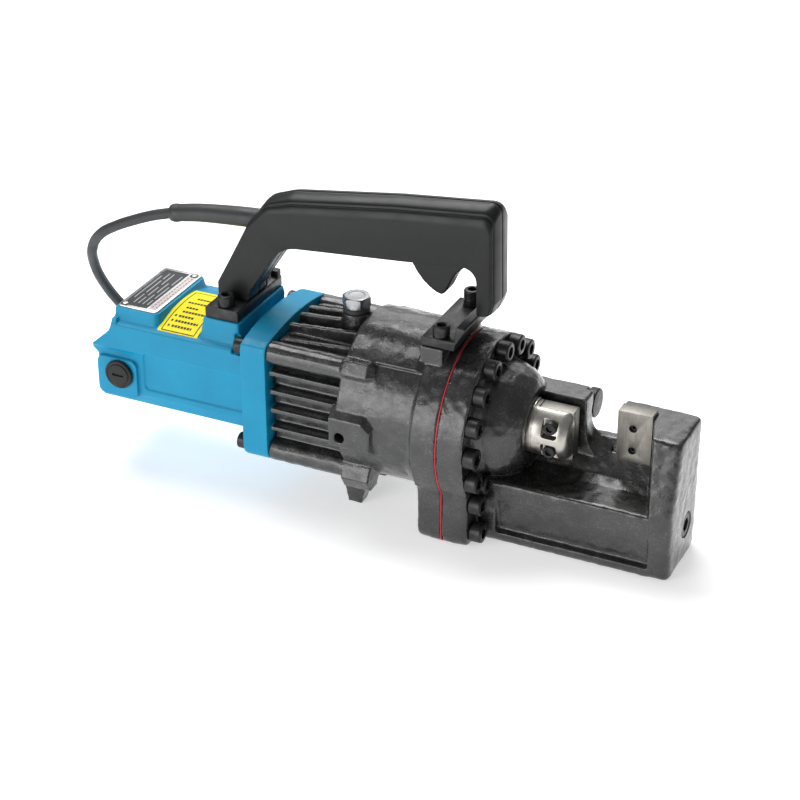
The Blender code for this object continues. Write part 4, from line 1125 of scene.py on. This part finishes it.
def brackets():
    stub = prism(box_outline(-186.5, -180, 30, 36, 1), "Z", 63, 70.5)
    rear = fuse(from_node("rear_bracket", True), stub)
    add("rear_foot_bracket", bevelled(rear, 0.7, 40), "black_steel", stands_for=["rear_bracket"])
    front = from_node("front_bracket", True)
    add("front_foot_bracket", bevelled(front, 0.7, 40), "black_steel", stands_for=["front_bracket"])


def handle_outline(drop):
    """Handle section in (X, Z). drop is 0 on the crown of the seam and 1 on the flat side face.

    Its small corner radii stay larger than the insets in HANDLE_SECTION.
    """
    def mix(seam, side):
        return tuple(a + (b - a) * drop for a, b in zip(seam, side))
    outer = [((-207.4, 65.3), (-207, 65.3), 2), ((-207.6, 77), (-207.2, 77), 5),
             ((-183, 129), (-179.5, 127), 14), ((-167, 150.6), (-164.5, 142.4), 14),
             ((-147, 158.1), (-141, 145.8), 40), ((-60, 170.8), (-56, 157.6), 200),
             ((21.2, 179.6), (18.2, 164.8), 8), ((23.3, 104), (18.8, 101), 3),
             ((19, 93), (18, 95), 2.4)]
    inner = [((9.2, 91.8), (9.5, 93), 2), ((9.2, 131.0), (8.6, 131.6), 11),
             ((-50, 125.2), (-50, 125.6), 120), ((-151.5, 116.2), (-151.5, 116.8), 28),
             ((-180.3, 72), (-180.8, 72), 10), ((-180.3, 65.3), (-180.8, 65.3), 2)]
    return rounded([(*mix(seam, side), radius) for seam, side, radius in outer + inner], 9)


def shrink(outline, by):
    """The outline moved inwards by a small distance."""
    points = [Vector(p) for p in outline]
    count = len(points)
    area = sum(points[i - 1].cross(points[i]) for i in range(count))
    turn = 1 if area > 0 else -1
    made = []
    for i, here in enumerate(points):
        along = points[(i + 1) % count] - points[i - 1]
        inward = Vector((-along.y, along.x)).normalized() * turn
        made.append(tuple(here + inward * by))
    return made


def handle():
    pocket = [(-144, 125.7), (-3, 135.2), (1.5, 140.5), (1.5, 157.3), (-144, 139.8)]
    for side, word in SIDES:
        body = layers([[(x, side * y, z) for x, z in shrink(handle_outline(drop), inset)]
                       for y, drop, inset in HANDLE_SECTION])
        inside = prism(pocket, "Y", *between(side, -3, 12.6))
        slot = block((-49.7, -3.6), between(side, -3.3, 8.6), (108, 137.2))
        gland = rod(8.6, -200, -150, (0, 0, 128.8), steps=48)
        body = carve(body, inside, slot, gland)
        if side > 0:
            sinks = [rod(3.9, 14.4, 17.5, (x, 0, z), "Y", 40) for x, z in HANDLE_SCREWS]
            body = carve(body, merged(sinks))
        add("handle_shell_" + word, body, "black_plastic", stands_for=["handle_" + word], sharp=24)
    for i, (x, z) in enumerate(HANDLE_SCREWS):
        screw = turned([(13.5, 0), (13.5, 1.9), (14.5, 1.9), (14.5, 3.6), (15.2, 3.4), (15.7, 2.4),
                        (15.9, 0)], (x, 0, z), "Y", 36)
        cross = [block((x - 2.2, x + 2.2), (15.0, 17), (z - 0.45, z + 0.45)),
                 block((x - 0.45, x + 0.45), (15.0, 17), (z - 2.2, z + 2.2))]
        add("handle_screw_%d" % (i + 1), carve(screw, *cross), "black_steel")
    add("trigger_lever", skinned(from_node("trigger"), 0.7, 14, 24000), "black_plastic", "trigger",
        ["trigger"])


# ---- pieces whose CAD shape is shown
INNER_FINISH = {
    "carbon": "carbon_brush_left carbon_brush_right",
    "lamination": "stator_core armature_core",
    "copper": "commutator",
    "black_plastic": "cooling_fan switch_body",
    "black_steel": "pump_block",
    "bright_steel": "armature_shaft rear_bearing front_bearing reduction_gear eccentric_shaft "
                    "pump_plunger",
}


def inner_pieces():
    coil = add("ram_return_coil", from_node("return_spring"), "bright_steel",
               stands_for=["return_spring"])
    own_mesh(coil)
    for finish, names in INNER_FINISH.items():
        for name in names.split():
            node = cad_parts[name]
            node.data.materials.clear()
            node.data.materials.append(LOOKS[finish])


camera()
mains_lead()
studio()
motor_end()
data_plate()
warning_label()
cylinder_casting()
head_casting()
gasket()
filler()
ram()
blades()
stopper_and_plug()
screws()
brackets()
handle()
inner_pieces()
for scratch in [mesh for mesh in bpy.data.meshes if not mesh.users]:
    bpy.data.meshes.remove(scratch)
